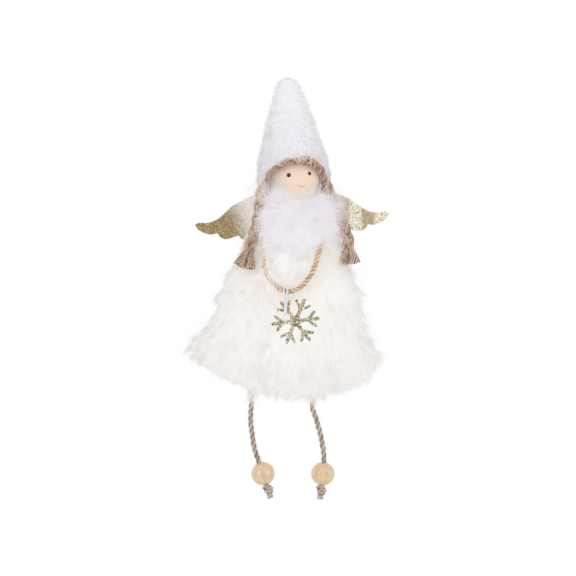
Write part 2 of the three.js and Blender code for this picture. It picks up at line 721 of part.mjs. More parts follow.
// Legs: anchor, bending root, hanging cord, bead and knot
for (const [name, side, route, beadAt, lean] of [
  ["left", -1, LEFT_LEG, LEFT_BEAD_AT, LEFT_BEAD_LEAN_DEG],
  ["right", 1, RIGHT_LEG, RIGHT_BEAD_AT, RIGHT_BEAD_LEAN_DEG],
]) {
  place(`${name}_leg_anchor`, anchor(side, 0), legTwine, body);
  const hip = body.localToWorld(new THREE.Vector3((side * LEG_SPACING) / 2, 0, hemAtLegs));
  hip.z -= CLEAR + legR;
  const upper = new THREE.Group();
  upper.position.copy(hip);
  const leg = new THREE.Group();
  leg.position.copy(hip);
  leg.position.z -= LEG_ROOT + CLEAR + legR;
  doll.add(upper, leg);
  const rootRoute = [[0, 0, 0], [0, 0, -LEG_ROOT / 2], [0, 0, -LEG_ROOT]];
  place(`${name}_leg_root`, cordWithBalls(rootRoute, LEG_D, 2, [0]), legTwine, upper);
  const downward = new THREE.Vector3(Math.sin(rad(lean)), 0, -Math.cos(rad(lean)));
  const middle = new THREE.Vector3(...beadAt);
  const along = (distance) => middle.clone().addScaledVector(downward, distance).toArray();
  const reach = beadFace + CLEAR / 2;
  const straight = [along(-reach - 1), along(0), along(reach)];
  place(`${name}_leg_cord`, cordWithBalls([...route, ...straight], LEG_D, 16, [0]), legTwine, leg);
  const foot = new THREE.Group();
  foot.position.copy(middle);
  foot.rotation.y = -rad(lean);
  leg.add(foot);
  foot.updateMatrixWorld(true);
  place(`${name}_bead`, bead(), varnishedWood, foot);
  const under = shape(knotForm).translate(0, 0, -reach - CLEAR - knotTop);
  place(`${name}_knot`, under, legTwine, foot);
}

export default doll;
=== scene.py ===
"""Looks of a hanging plush angel doll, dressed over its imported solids.

Metres. +Z is up, +X is the viewer's right, the doll faces -Y. The hat's tip is the origin.
Sizes of the forms are given in millimetres, as on a maker's drawing.
"""

import math

import bmesh
import bpy
import numpy as np
from mathutils import Matrix, Vector, kdtree


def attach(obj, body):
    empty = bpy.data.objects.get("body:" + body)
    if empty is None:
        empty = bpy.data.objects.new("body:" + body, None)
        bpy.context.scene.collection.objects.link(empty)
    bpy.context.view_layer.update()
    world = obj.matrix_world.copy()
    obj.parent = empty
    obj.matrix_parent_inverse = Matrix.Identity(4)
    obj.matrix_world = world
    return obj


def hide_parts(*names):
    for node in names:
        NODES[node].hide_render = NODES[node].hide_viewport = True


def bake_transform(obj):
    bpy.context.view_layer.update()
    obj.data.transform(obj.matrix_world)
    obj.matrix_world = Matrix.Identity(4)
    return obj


bl_info = {
    "name": "Hanging plush angel doll",
    "version": (1, 0, 0),
    "blender": (4, 5, 0),
    "location": "3D View > Sidebar > Doll",
    "description": "Dresses the doll's solids with pile, down, twine, paint and glitter",
    "category": "Object",
}

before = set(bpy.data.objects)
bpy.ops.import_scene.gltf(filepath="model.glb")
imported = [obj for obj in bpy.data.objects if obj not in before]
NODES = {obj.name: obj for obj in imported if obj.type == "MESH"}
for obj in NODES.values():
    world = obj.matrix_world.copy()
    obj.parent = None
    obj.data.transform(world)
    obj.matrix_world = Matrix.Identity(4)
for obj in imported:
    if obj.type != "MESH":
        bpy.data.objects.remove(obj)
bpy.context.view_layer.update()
MM = 0.001

# Hat: tip to rim, with shares of the height and of the radius from the tip down
HAT_HEIGHT = 43.2
HAT_R = 14.6
HAT_RIM_RISE = 10.4
HAT_RIM_DROP = 5.0
HAT_TILT = -4.0
HAT_DEPTHS = [0, 0.012, 0.04, 0.09, 0.2, 0.32, 0.43, 0.55, 0.67, 0.78, 0.9, 1.3]
HAT_REACHES = [0, 0.18, 0.28, 0.33, 0.41, 0.53, 0.64, 0.73, 0.84, 0.96, 1, 1]

# Dress: shares of the length, of the half width and of the half depth from the neck to the hem
BODY_PLACE = (2.9, 0.0, -50.0)
BODY_TILT = 3.5
NECK_DROP = 3.0
DRESS_LENGTH = 80.6
DRESS_HALF_WIDTH = 38.8
DRESS_HALF_DEPTH = 16.8
HEM_CURVE_R = 53.8
DRESS_SHARES = [0, 0.06, 0.13, 0.22, 0.35, 0.43, 0.54, 0.605, 0.69, 0.78, 0.88, 0.95, 1]
DRESS_WIDTHS = [0.19, 0.32, 0.42, 0.525, 0.63, 0.71, 0.75, 0.742, 0.81, 0.9, 0.98, 1, 0.985]
DRESS_DEPTHS = [0.45, 0.69, 0.81, 0.88, 0.94, 0.975, 1, 0.99, 0.975, 0.93, 0.78, 0.51, 0.15]

# Dress pile: how deep it roots, and its length down the left and right edges by share of the dress's length
DRESS_ROOTS = -3.2
LEFT_PILE_SHARES = [0.1, 0.2, 0.45, 0.55, 0.8, 0.88, 0.93, 0.97]
LEFT_PILE = [0.9, 0.62, 0.7, 1, 1.1, 1.3, 0.75, 0.35]
RIGHT_PILE_SHARES = [0.3, 0.42, 0.5, 0.56, 0.64, 0.9, 0.97]
RIGHT_PILE = [1.35, 1.3, 1.1, 1.6, 1.3, 1.2, 1.2]

# Scarf: a roll round the neck, and rows of depth, middle (x, y), half width and half depth of its tail
SCARF_ROLL_R = 4.0
SCARF_ROLL_ACROSS = 8.2
SCARF_ROLL_BACK = 10.9
SCARF_BELOW_NECK = 4.8
SCARF_SIDE = 0.8
SCARF_TAIL = [
    (1, 0, -9.5, 6, 2.4),
    (5, 0.5, -12, 10.5, 4),
    (10, 0.8, -14.2, 11.4, 4.2),
    (15, 0.8, -15.8, 9.8, 3.8),
    (20, -0.6, -16.6, 6.8, 3.2),
    (24, -2.2, -17, 4, 2.4),
    (27, -3, -17.4, 1.4, 1),
]

# Head ball, with x, z and radius of the painted dots, and the bent line of the mouth
HEAD_PLACE = (4.15, -1.0, -40.71)
HEAD_R = 10.5
HEAD_YAW = 6.0
EYES = {"left_eye": (0.76, -40.75, 0.92), "right_eye": (9.41, -40.05, 0.76)}
# Lighter spots at both sides of the face: partly pink cheek paint, partly painted light against the shade
# there.
CHEEK_BLUSH_AND_LIGHT = [(-5, -43, 4.6), (13, -43.6, 4)]
# Heights in mm over which the paint under the mouth turns lighter: painted light against the shade there.
CHIN_LIGHT_HEIGHTS = (-50.5, -45.5)
MOUTH_X = 6.05
MOUTH_Z = -45.6
MOUTH_HALF = 1.5
MOUTH_BEND = 0.75
MOUTH_R = 0.36

# Roll of hair round the face: an arch in degrees round the head, with its height and fall to the temples
FRINGE_OUT = 12.8
FRINGE_ARCH = (-90, 66)
FRINGE_TOP = 30
FRINGE_FALL = 42
FRINGE_SHARES = [0, 0.15, 0.3, 0.5, 0.62, 0.75, 0.88, 1]
FRINGE_THICKNESS = [0.4, 0.42, 0.62, 0.95, 1.05, 0.95, 0.6, 0.4]

# Glitter: flakes to a metre; in metres, the wings' middle, the fade to gold and the right wing's bands of
# painted reflection and painted shade
FLAKES = 2600.0
WING_MIDDLE = 0.0021
GOLD_FADE = (0.015, 0.0275)
REFLECTION_BAND_PLACE = 0.029
REFLECTION_BAND_PITCH = 0.0112

# Plaits: how the strands weave, and the plaits' middle lines from the temples down
PLAIT_PITCH = 18.0
PLAIT_SWING = 1.5
PLAIT_DEPTH = 1.3
PLAIT_TAIL = 7.0
PLAIT_TAIL_SPREAD = 1.6
LEFT_PLAIT = [
    (-9.4, -4.6, -43),
    (-10.3, -4.9, -45.4),
    (-10.9, -5.4, -48),
    (-11.3, -6.2, -52),
    (-12.1, -8.2, -58.4),
    (-13.8, -10.9, -65.1),
    (-15.6, -12.8, -70.6),
    (-16.8, -13.9, -74.3),
    (-18.1, -14.9, -79),
]
RIGHT_PLAIT = [
    (16, -4.4, -42.2),
    (17.1, -4.4, -45),
    (17.8, -4.6, -47.6),
    (19, -5, -51.4),
    (20.8, -5.8, -56),
    (23.4, -6.8, -61.3),
    (24.9, -7.4, -65.1),
    (25.8, -8, -70.6),
    (26.4, -8.4, -77.6),
]

# Locks that join the roll of hair to the plaits
LEFT_LOCK = [
    (-8.2, -6.5, -41.5),
    (-7.2, -7, -44),
    (-6.9, -7, -46.4),
    (-8.1, -6.8, -48.2),
    (-10.2, -6.2, -49.6),
]
RIGHT_LOCK = [(14.7, -6.2, -39.5), (15.4, -5.8, -42.5), (15.3, -5.5, -45.5), (15, -5.2, -48)]

# Necklace: route from the left shoulder to the right one, hinge, lay of the plies, and the pendant's thread
NECKLACE = [
    (-5, -5, -57.5),
    (-8.8, -8, -60.5),
    (-10.2, -11.6, -64),
    (-10.3, -14, -67.5),
    (-10, -16.4, -72),
    (-9.6, -17.8, -77.5),
    (-8.3, -18.5, -82.3),
    (-5.2, -19.2, -86.2),
    (-0.6, -19.6, -89.2),
    (3.6, -19.5, -88.6),
    (7, -19, -86.2),
    (10.6, -17.9, -81.1),
    (13, -15.9, -73.6),
    (14.6, -13, -67.4),
    (15.2, -11.6, -64),
    (14.2, -8, -60.5),
    (11, -5, -57.5),
]
NECKLACE_LOW = NECKLACE[8]
NECKLACE_LAY = 5.6
THREAD_BEND = 1.9
THREAD_DROP = 8.0

# Legs: lay of the plies, upper bend in the hem, lower bend, routes below it, beads and their lean
LEG_LAY = 8.0
LEG_BEND_GAP = 3.95
LEFT_HIP = (-14.887, 0.0, -132.493)
LEFT_LEG = [(0, 0, 0), (-0.3, 0, -2.9), (-0.3, 0, -7.9), (0.4, 0, -13.7), (1.3, 0, -19)]
LEFT_BEAD = (4.8, 0, -29.3)
LEFT_LEAN = 19.0
RIGHT_HIP = (10.665, 0.0, -134.055)
RIGHT_LEG = [(0, 0, 0), (0.7, 0, -2.4), (1.8, 0, -5.5), (3.1, 0, -10.3), (4.2, 0, -15.4)]
RIGHT_BEAD = (4.4, 0, -27.8)
RIGHT_LEAN = -5.0
BEAD_R = 5.0
BEAD_FACE = 4.89
BEAD_BORE_R = 1.5
BEAD_BORE_HALF = 4.2
BEAD_CHAMFER = 0.35

# Angles round a piece, from the viewer's right by way of the back
AROUND = (0, 2 * math.pi)
BACK = (0, math.pi)
FRONT = (math.pi, 2 * math.pi)

# Hairs of the smaller groups
LEG_FIBRES = 46
NECKLACE_VEIL_HAIRS = 460
SCARF_VEIL_HAIRS = 1600
LEG_WISPS = 85
HAT_RIM_HAIRS = 3200
HAT_EDGE_HAIRS = 3000
FRINGE_CURLS = 64

# Stage, in metres; the lens's sensor is in millimetres
SENSOR = 36
CAMERA_X = 0.00042
CAMERA_Z = -0.0878
DOLL_MIDDLE = (0, 0, -0.088)
LAMPS = {"key": (-0.75, -0.9, 0.14), "fill": (1.03, -0.55, 0.12)}
LAMP_SIZE = 0.4
LAMP_POWER = 1.8
ROOM_LIGHT = 0.98
FLOOR_HALF = 0.75
FLOOR_Z = -0.275


def linear(code):
    """A colour written as 0xRRGGBB, in linear values."""
    parts = [((code >> shift) & 255) / 255 for shift in (16, 8, 0)]
    return tuple(c / 12.92 if c <= 0.04045 else ((c + 0.055) / 1.055) ** 2.4 for c in parts)


def colour(code, name, about):
    return bpy.props.FloatVectorProperty(
        name=name, description=about, default=linear(code), size=3, min=0, max=1, subtype="COLOR"
    )


def length(mm, name, about):
    return bpy.props.FloatProperty(
        name=name, description=about, default=mm * MM, min=0, precision=5, unit="LENGTH"
    )


def count(number, name, about):
    return bpy.props.IntProperty(name=name, description=about, default=number, min=1)


class DollSizes(bpy.types.PropertyGroup):
    """Pile, yarn and lens sizes."""

    dress_pile: length(7.6, "Dress pile", "Length of the dress's pile")
    dress_hair: length(0.16, "Dress hair", "Thickness of one hair of the dress's pile")
    dress_hairs: count(85000, "Dress hairs", "Hairs on the whole dress")
    hat_pile: length(2.8, "Hat pile", "Length of the hat's pile")
    hat_hair: length(0.15, "Hat hair", "Thickness of one hair of the hat's pile")
    hat_hairs: count(17600, "Hat hairs", "Hairs on the hat")
    scarf_down: length(8.5, "Scarf down", "Length of the scarf's down")
    scarf_hair: length(0.095, "Scarf hair", "Thickness of one wisp of down")
    scarf_hairs: count(22000, "Scarf wisps", "Wisps on the whole scarf")
    leg_twine: length(2.3, "Leg twine", "Thickness of the legs' twine")
    necklace_twine: length(2.3, "Necklace twine", "Thickness of the necklace's twine")
    camera_distance: length(1500, "Camera distance", "From the lens to the doll's middle plane")
    picture_width: length(241.9, "Picture width", "What the picture spans at the doll")


class DollColours(bpy.types.PropertyGroup):
    """Colours of the finishes."""

    # The dress pile's roots are darker than its tips: painted shade deep in the pile.
    dress_root_shade: colour(0xF8F3E8, "Dress root", "The pile near the cloth")
    dress_tip: colour(0xFFFDF9, "Dress tip", "The pile's ends")
    # Random tufts tint towards this, and near the hem the pile turns towards it as painted shade.
    dress_cool_and_hem_shade: colour(0xDEDADA, "Dress cool", "Cooler pile near the hem")
    # The hat pile's roots are darker than its tips: painted shade deep in the pile.
    hat_root_shade: colour(0xE5E3E9, "Hat root", "The hat's pile near the cloth")
    # Random tufts tint towards this, and near the rim the pile turns towards it as painted shade.
    hat_tufts_and_rim_shade: colour(0xD1CFD7, "Hat low", "Greyer pile near the hat's rim")
    hat_tip: colour(0xFDFBFE, "Hat tip", "The hat's pile ends")
    # The down's roots are darker than its tips: painted shade deep in the down.
    scarf_root_shade: colour(0xEBE8EE, "Scarf root", "The down near the roll")
    scarf_shade: colour(0xB6AEC2, "Scarf shade", "Deeper tufts of the down")
    scarf_tip: colour(0xF5F2F7, "Scarf tip", "The down's ends")
    # In the yarn colours, raised yarn takes the light colour and deep yarn the darker one: painted shade
    # between yarns and plies.
    hair_light: colour(0xE0C1AA, "Hair light", "Raised yarn")
    curl_light: colour(0xDFC2AC, "Curl light", "Loose curls on the roll of hair")
    fringe_light: colour(0xC49F88, "Fringe light", "Raised yarn of the roll round the face")
    hair_deep_shade: colour(0x6C4E3E, "Hair dark", "Deep yarn")
    leg_light: colour(0xCFBAAB, "Leg light", "Raised fibres of the legs' twine")
    leg_deep_shade: colour(0x968070, "Leg dark", "Deep fibres of the legs' twine")
    necklace_light: colour(0xE6CBB1, "Necklace light", "Raised fibres of the necklace")
    necklace_deep_shade: colour(0xAC8767, "Necklace dark", "Deep fibres of the necklace")
    skin: colour(0xE9D3BF, "Skin", "Paint on the head")
    # Lighter than the skin: partly pink cheek paint, partly painted light at the face's sides.
    blush_and_painted_light: colour(0xF0DDD4, "Blush", "Paint on the cheeks")
    # Lighter than the skin: painted light under the mouth.
    chin_light: colour(0xF2DCCE, "Chin", "Paint under the mouth")
    mouth: colour(0xCE867C, "Mouth", "Paint of the mouth")
    eye: colour(0x191512, "Eye", "Paint of the eyes")
    bead_light: colour(0xD7BA97, "Bead light", "Pale rings of the beads' wood")
    bead_dark: colour(0xBF9A71, "Bead dark", "Dark rings of the beads' wood")
    # Flakes painted near white: painted glints, on the snowflake and in the right wing's bright bands.
    gold_glint: colour(0xF8F4E4, "Gold light", "Flakes that face the light")
    # Brighter flakes of the wings: painted glints.
    gold_spark_glint: colour(0xDCCBA2, "Gold spark", "Brighter flakes of the wings")
    # Dim bands of the right wing: painted shade between the bands of painted reflection.
    gold_band_shade: colour(0xCDBB98, "Gold dull", "Duller bands of the right wing")
    gold_mid: colour(0xA08A5F, "Gold mid", "Most of the flakes")
    # Flakes painted dark: painted shade.
    gold_flake_shade: colour(0x7F6C46, "Gold dark", "Flakes that face away")
    wing_root: colour(0xF2EAE5, "Wing middle", "The sheet where the glitter fades")
    flake_mid: colour(0xC6BB97, "Snowflake mid", "Most of the snowflake's flakes")
    # Snowflake flakes painted dark: painted shade.
    flake_shade: colour(0x4A422C, "Snowflake dark", "The snowflake's flakes that face away")
    thread: colour(0xF0F0F0, "Thread", "The pendant's thread")


# Lines and forms


def tilted(points, degrees, place=(0, 0, 0)):
    """Points turned about Y and moved, from millimetres to metres."""
    a = math.radians(degrees)
    x, y, z = points.T
    turned = np.stack([x * math.cos(a) + z * math.sin(a), y, z * math.cos(a) - x * math.sin(a)], axis=1)
    return (turned + np.array(place)) * MM


def unit(vectors):
    return vectors / np.maximum(np.linalg.norm(vectors, axis=-1, keepdims=True), 1e-12)


def smooth_line(points, number):
    """Evenly spaced points on one smooth curve through the given ones, in metres."""
    p = np.array(points, float) * MM
    p = np.vstack([2 * p[0] - p[1], p, 2 * p[-1] - p[-2]])
    dense = []
    for a, b, c, d in zip(p, p[1:], p[2:], p[3:]):
        steps = [math.sqrt(np.linalg.norm(v - u)) for u, v in ((a, b), (b, c), (c, d))]
        k = np.cumsum([0, *steps])
        t = np.linspace(k[1], k[2], 40, endpoint=False)[:, None]

        def mixed(low, high, start, end):
            return ((k[end] - t) * low + (t - k[start]) * high) / (k[end] - k[start])

        ab, bc, cd = mixed(a, b, 0, 1), mixed(b, c, 1, 2), mixed(c, d, 2, 3)
        dense.append(mixed(mixed(ab, bc, 0, 2), mixed(bc, cd, 1, 3), 1, 2))
    dense = np.vstack([*dense, p[-2:-1]])
    along = np.concatenate([[0], np.cumsum(np.linalg.norm(np.diff(dense, axis=0), axis=1))])
    at = np.linspace(0, along[-1], number)
    return np.stack([np.interp(at, along, dense[:, k]) for k in range(3)], axis=1)


def line_length(line):
    return float(np.linalg.norm(np.diff(line, axis=0), axis=1).sum())


def carried_frame(line):
    """Tangents and two side directions that turn as little as they can along a line."""
    tangents = unit(np.gradient(line, axis=0))
    sides = np.empty_like(line)
    side = np.cross(tangents[0], (0.31, 0.9, 0.17))
    for i, tangent in enumerate(tangents):
        side = side - tangent * (side @ tangent)
        side = side / np.linalg.norm(side)
        sides[i] = side
    return tangents, sides, np.cross(tangents, sides)


def wound(line, reach, pitch, phase):
    """A line that winds round another one."""
    _, side, up = carried_frame(line)
    along = np.concatenate([[0], np.cumsum(np.linalg.norm(np.diff(line, axis=0), axis=1))])
    angle = 2 * math.pi * along / pitch + phase
    reach = np.broadcast_to(reach, angle.shape)[:, None]
    return line + reach * (np.cos(angle)[:, None] * side + np.sin(angle)[:, None] * up)


def plies(line, number, reach, pitch, phase=0.0):
    return [wound(line, reach, pitch, phase + 2 * math.pi * k / number) for k in range(number)]


def dress_form(share, angle, grow=0.0):
    x = (DRESS_HALF_WIDTH * np.interp(share, DRESS_SHARES, DRESS_WIDTHS) + grow) * np.cos(angle)
    deep = np.maximum(DRESS_HALF_DEPTH * np.interp(share, DRESS_SHARES, DRESS_DEPTHS) + grow, 0.4)
    hem = -NECK_DROP - DRESS_LENGTH + x**2 / (2 * HEM_CURVE_R)
    z = -NECK_DROP + share * (hem + NECK_DROP)
    return tilted(np.stack([x, deep * np.sin(angle), z], axis=1), BODY_TILT, BODY_PLACE)


def hat_form(share, angle, grow=0.0):
    front = -np.sin(angle)
    rim = HAT_HEIGHT - front * np.where(front > 0, HAT_RIM_RISE, HAT_RIM_DROP)
    depth = share * rim
    reach = HAT_R * np.interp(depth / HAT_HEIGHT, HAT_DEPTHS, HAT_REACHES) + grow
    points = np.stack([reach * np.cos(angle), reach * np.sin(angle), -depth], axis=1)
    return tilted(points, HAT_TILT)


def roll_form(share, angle, grow=0.0):
    """The scarf's roll: share goes round the roll, angle round the neck."""
    turn = 2 * math.pi * share
    reach = SCARF_ROLL_ACROSS + (SCARF_ROLL_R + grow) * np.cos(turn)
    back = (SCARF_ROLL_BACK - SCARF_ROLL_ACROSS) * np.abs(np.sin(angle)) * np.sign(np.sin(angle))
    x = SCARF_SIDE + reach * np.cos(angle)
    y = reach * np.sin(angle) + back
    z = -SCARF_BELOW_NECK + (SCARF_ROLL_R + grow) * np.sin(turn)
    return tilted(np.stack([x, y, z], axis=1), BODY_TILT, BODY_PLACE)


def tail_form(share, angle, grow=0.0):
    rows = np.array(SCARF_TAIL, float)
    at = np.linspace(0, 1, len(rows))
    depth, x, y, wide, deep = (np.interp(share, at, rows[:, k]) for k in range(5))
    x = x + np.maximum(wide + grow, 0.3) * np.cos(angle)
    y = y + np.maximum(deep + grow, 0.3) * np.sin(angle)
    return tilted(np.stack([x, y, -depth], axis=1), BODY_TILT, BODY_PLACE)


def scattered(form, number, seed, shares, angles, grow, inside):
    """Even random places on a form, with the outward directions there."""
    chance = np.random.default_rng(seed)
    rows, columns = 60, 120
    edges_s, edges_a = np.linspace(*shares, rows + 1), np.linspace(*angles, columns + 1)
    s, a = np.meshgrid((edges_s[1:] + edges_s[:-1]) / 2, (edges_a[1:] + edges_a[:-1]) / 2, indexing="ij")
    s, a = s.ravel(), a.ravel()

    def slopes(s, a):
        step = 1e-3
        down = form(s + step, a, grow) - form(s - step, a, grow)
        round_ = form(s, a + step, grow) - form(s, a - step, grow)
        return np.cross(down, round_)

    weight = np.linalg.norm(slopes(s, a), axis=1)
    cell = chance.choice(len(s), number, p=weight / weight.sum())
    s = s[cell] + (chance.random(number) - 0.5) * (shares[1] - shares[0]) / rows
    a = a[cell] + (chance.random(number) - 0.5) * (angles[1] - angles[0]) / columns
    places, outward = form(s, a, grow), unit(slopes(s, a))
    flip = np.sign(((places - inside(places)) * outward).sum(1, keepdims=True))
    return places, outward * np.where(flip == 0, 1, flip), s, a


def same_way(way, places):
    """One direction at every place."""
    return np.broadcast_to(unit(np.array(way, float)), places.shape)


def downhill(out):
    """The way that pile falls on a surface."""
    fall = np.array([0, 0, -1.0]) - out * (out @ np.array([0, 0, -1.0]))[:, None]
    size = np.linalg.norm(fall, axis=1, keepdims=True)
    return np.where(size > 0.05, fall / np.maximum(size, 1e-9), 0)


# Meshes


def kept_object(name, mesh):
    made = bpy.data.objects.new(name, mesh)
    bpy.context.scene.collection.objects.link(made)
    return made


def from_bmesh(name, form, smooth=True):
    mesh = bpy.data.meshes.new(name)
    form.to_mesh(mesh)
    form.free()
    if smooth:
        mesh.shade_smooth()
    else:
        mesh.shade_flat()
    return kept_object(name, mesh)


def shadowless(*pieces):
    """White pile stays white where its pieces don't darken each other."""
    for piece in pieces:
        piece.visible_shadow = False
        piece.visible_diffuse = False


def search_tree(places, labels):
    """Finds the nearest of some places, and its label."""
    tree = kdtree.KDTree(len(places))
    for place, label in zip(places, labels):
        tree.insert(place, int(label))
    tree.balance()
    return tree


def keep_values(mesh, **named):
    """Values on a mesh's corners that its finish reads."""
    for name, values in named.items():
        made = mesh.attributes.new(name, "FLOAT", "POINT")
        made.data.foreach_set("value", np.ascontiguousarray(values, np.float32).ravel())


def tubes(name, lines, radius, closed=False, radii=None, core=None, reach=None, seed=1):
    """Round yarns along lines, with closed ends. A core line, and how far yarn reaches from it,
    tell raised yarn from deep yarn, which the yarn's finish paints darker as painted shade."""
    curve = bpy.data.curves.new(name, "CURVE")
    curve.dimensions = "3D"
    curve.bevel_depth = radius
    curve.bevel_resolution = 2
    curve.use_fill_caps = not closed
    for line in lines:
        spline = curve.splines.new("POLY")
        spline.points.add(len(line) - 1)
        spline.points.foreach_set("co", np.c_[line, np.ones(len(line))].ravel())
        if radii is not None:
            spline.points.foreach_set("radius", radii)
        spline.use_cyclic_u = closed
    holder = bpy.data.objects.new(name, curve)
    mesh = bpy.data.meshes.new_from_object(holder)
    bpy.data.objects.remove(holder)
    bpy.data.curves.remove(curve)
    corners = np.empty(3 * len(mesh.vertices), np.float32)
    mesh.vertices.foreach_get("co", corners)
    rise = np.ones(len(mesh.vertices))
    if core is not None:
        tree = search_tree(core, range(len(core)))
        found = [tree.find(corner) for corner in corners.reshape(-1, 3)]
        rise = np.array([away for _, _, away in found])
        full = np.quantile(rise, 0.97) if reach is None else reach[[i for _, i, _ in found]]
        rise = np.clip((rise / full - 0.35) / 0.65, 0, 1)
    tone = np.random.default_rng(seed).random(len(lines))
    tone = np.repeat(tone, math.ceil(len(rise) / len(lines)))[: len(rise)]
    keep_values(mesh, yarn_rise=rise, yarn_tone=tone)
    form = bmesh.new()
    form.from_mesh(mesh)
    bpy.data.meshes.remove(mesh)
    bmesh.ops.remove_doubles(form, verts=form.verts[:], dist=1e-6)
    return from_bmesh(name, form)


def plied(name, line, thickness, pitch):
    """Twine of three plies along a line."""
    radius = thickness / 2
    return tubes(name, plies(line, 3, radius * 0.53, pitch), radius * 0.47, core=line)


def wrapped(name, form, shares, around, down):
    """A closed skin over a form that goes all the way round."""
    skin = bmesh.new()
    bmesh.ops.create_grid(skin, x_segments=around, y_segments=down, size=0.5)
    corners = np.array([v.co for v in skin.verts])
    share = shares[0] + (shares[1] - shares[0]) * (corners[:, 1] + 0.5)
    for corner, place in zip(skin.verts, form(share, 2 * math.pi * (corners[:, 0] + 0.5))):
        corner.co = place
    bmesh.ops.remove_doubles(skin, verts=skin.verts[:], dist=2e-5)
    rim = [edge for edge in skin.edges if edge.is_boundary]
    if rim:
        bmesh.ops.holes_fill(skin, edges=rim, sides=0)
    bmesh.ops.recalc_face_normals(skin, faces=skin.faces[:])
    return from_bmesh(name, skin)


def one_hair(levels):
    """A three-sided hair that ends in a point: corner offsets, levels and triangles."""
    hair = bmesh.new()
    bmesh.ops.create_cone(hair, cap_ends=True, segments=3, radius1=1, radius2=0, depth=1)
    sides = [edge for edge in hair.edges if max(v.co.z for v in edge.verts) > 0.4]
    if levels > 2:
        bmesh.ops.subdivide_edges(hair, edges=sides, cuts=levels - 2)
    bmesh.ops.triangulate(hair, faces=hair.faces[:])
    hair.verts.index_update()
    corners = np.array([v.co for v in hair.verts])
    faces = np.array([[v.index for v in face.verts] for face in hair.faces])
    hair.free()
    level = np.rint((corners[:, 2] + 0.5) * (levels - 1)).astype(int)
    offset = corners[:, :2] / np.maximum(np.linalg.norm(corners[:, :2], axis=1, keepdims=True), 1e-9)
    return offset, level, faces


def pile_lines(roots, out, nap, pile, seed, lean, droop, curl, levels, tuft, pull, uneven=0.15):
    """Hairs that lean along the nap, droop, curl a little and gather into tufts of uneven length."""
    chance = np.random.default_rng(seed)
    number = len(roots)
    lean = np.radians(lean[0] + (lean[1] - lean[0]) * chance.random((number, 1)))
    way = unit(out * np.cos(lean) + nap * np.sin(lean) + curl * chance.normal(size=(number, 3)))
    step = (pile * (0.7 + 0.45 * chance.random(number)) / (levels - 1))[:, None]
    lines = [roots]
    for _ in range(levels - 1):
        lines.append(lines[-1] + step * way)
        way = unit(way + droop * nap + curl * chance.normal(size=(number, 3)))
    lines = np.stack(lines, axis=1)
    leaders = chance.choice(number, max(1, number // tuft), replace=False)
    tree = search_tree(roots[leaders], leaders)
    led_by = np.array([tree.find(root)[1] for root in roots])
    grown = chance.uniform(1 - uneven, 1 + uneven, number)[led_by][:, None, None]
    lines = roots[:, None] + grown * (lines - roots[:, None])
    share = (np.arange(levels) / (levels - 1)) ** 1.6
    hold = (pull * (0.6 + 0.6 * chance.random(number)))[:, None, None] * share[None, :, None]
    return lines + np.clip(hold, 0, 1) * (lines[led_by] - lines), led_by


def hair_mesh(name, lines, thickness, out, seed, soft, tuft_of=None):
    """One mesh of hairs along lines. Normals lean to the surface's own, so the pile shades softly."""
    chance = np.random.default_rng(seed)
    number, levels, _ = lines.shape
    offset, level, faces = one_hair(levels)
    ways = unit(np.gradient(lines, axis=1))
    side = unit(np.cross(ways, chance.normal(size=(number, 1, 3))))
    up = np.cross(ways, side)
    taper = np.interp(np.arange(levels) / (levels - 1), [0, 0.5, 1], [0.85, 1, 0])
    half = thickness / 2 * (0.75 + 0.5 * chance.random((number, 1, 1))) * taper[None, :, None]
    radial = offset[None, :, :1] * side[:, level] + offset[None, :, 1:] * up[:, level]
    corners = lines[:, level] + half[:, level] * radial
    normals = unit(soft * out[:, None, :] + (1 - soft) * radial)
    shift = np.arange(number)[:, None, None] * len(level)
    mesh = bpy.data.meshes.new(name)
    mesh.from_pydata(corners.reshape(-1, 3), [], (faces[None] + shift).reshape(-1, 3).tolist(), False)
    mesh.normals_split_custom_set_from_vertices(normals.reshape(-1, 3).tolist())
    place = np.broadcast_to(level / (levels - 1), (number, len(level)))
    tint = chance.random(number)
    if tuft_of is not None:
        tint = 0.25 * tint + 0.75 * chance.random(number)[tuft_of]
    keep_values(mesh, hair_place=place, hair_tint=np.repeat(tint, len(level)))
    hairs = kept_object(name, mesh)
    shadowless(hairs)
    return hairs


def fleece(name, grown, pile, thickness, seed, cover, body="doll", soft=0.12, **lay):
    """One dressed piece of hairs, from their roots, outward ways and nap. The lay says how they lie."""
    roots, out, nap = grown
    lines, tufts = pile_lines(roots, out, nap, pile, seed, **lay)
    return dressed(hair_mesh(name, lines, thickness, out, seed, soft, tufts), *cover, body)


# Materials


def add(tree, kind, inputs=None, **settings):
    """A node with its settings, and with values or links on its inputs."""
    made = tree.nodes.new(kind)
    for name, value in settings.items():
        setattr(made, name, value)
    for key, value in (inputs or {}).items():
        if isinstance(value, bpy.types.NodeSocket):
            tree.links.new(value, made.inputs[key])
        else:
            made.inputs[key].default_value = value
    return made


def mix(tree, factor, low, high, blend="MIX"):
    """Colour between two colours."""
    inputs = {0: factor, 6: rgba(low), 7: rgba(high)}
    return add(tree, "ShaderNodeMix", inputs, data_type="RGBA", blend_type=blend).outputs[2]


def rgba(value):
    return value if isinstance(value, bpy.types.NodeSocket) else (*value, 1.0)[:4]


def math_node(tree, operation, first, second=0.0, third=0.5, clamp=False):
    inputs = {0: first, 1: second, 2: third}
    return add(tree, "ShaderNodeMath", inputs, operation=operation, use_clamp=clamp).outputs[0]


def object_place(tree):
    return add(tree, "ShaderNodeTexCoord").outputs["Object"]


def own_value(tree, name):
    """A value that the mesh carries on its corners."""
    return add(tree, "ShaderNodeAttribute", attribute_name=name).outputs["Fac"]


def noise(tree, where, scale, detail=2.0):
    return add(tree, "ShaderNodeTexNoise", {"Vector": where, "Scale": scale, "Detail": detail}).outputs[0]


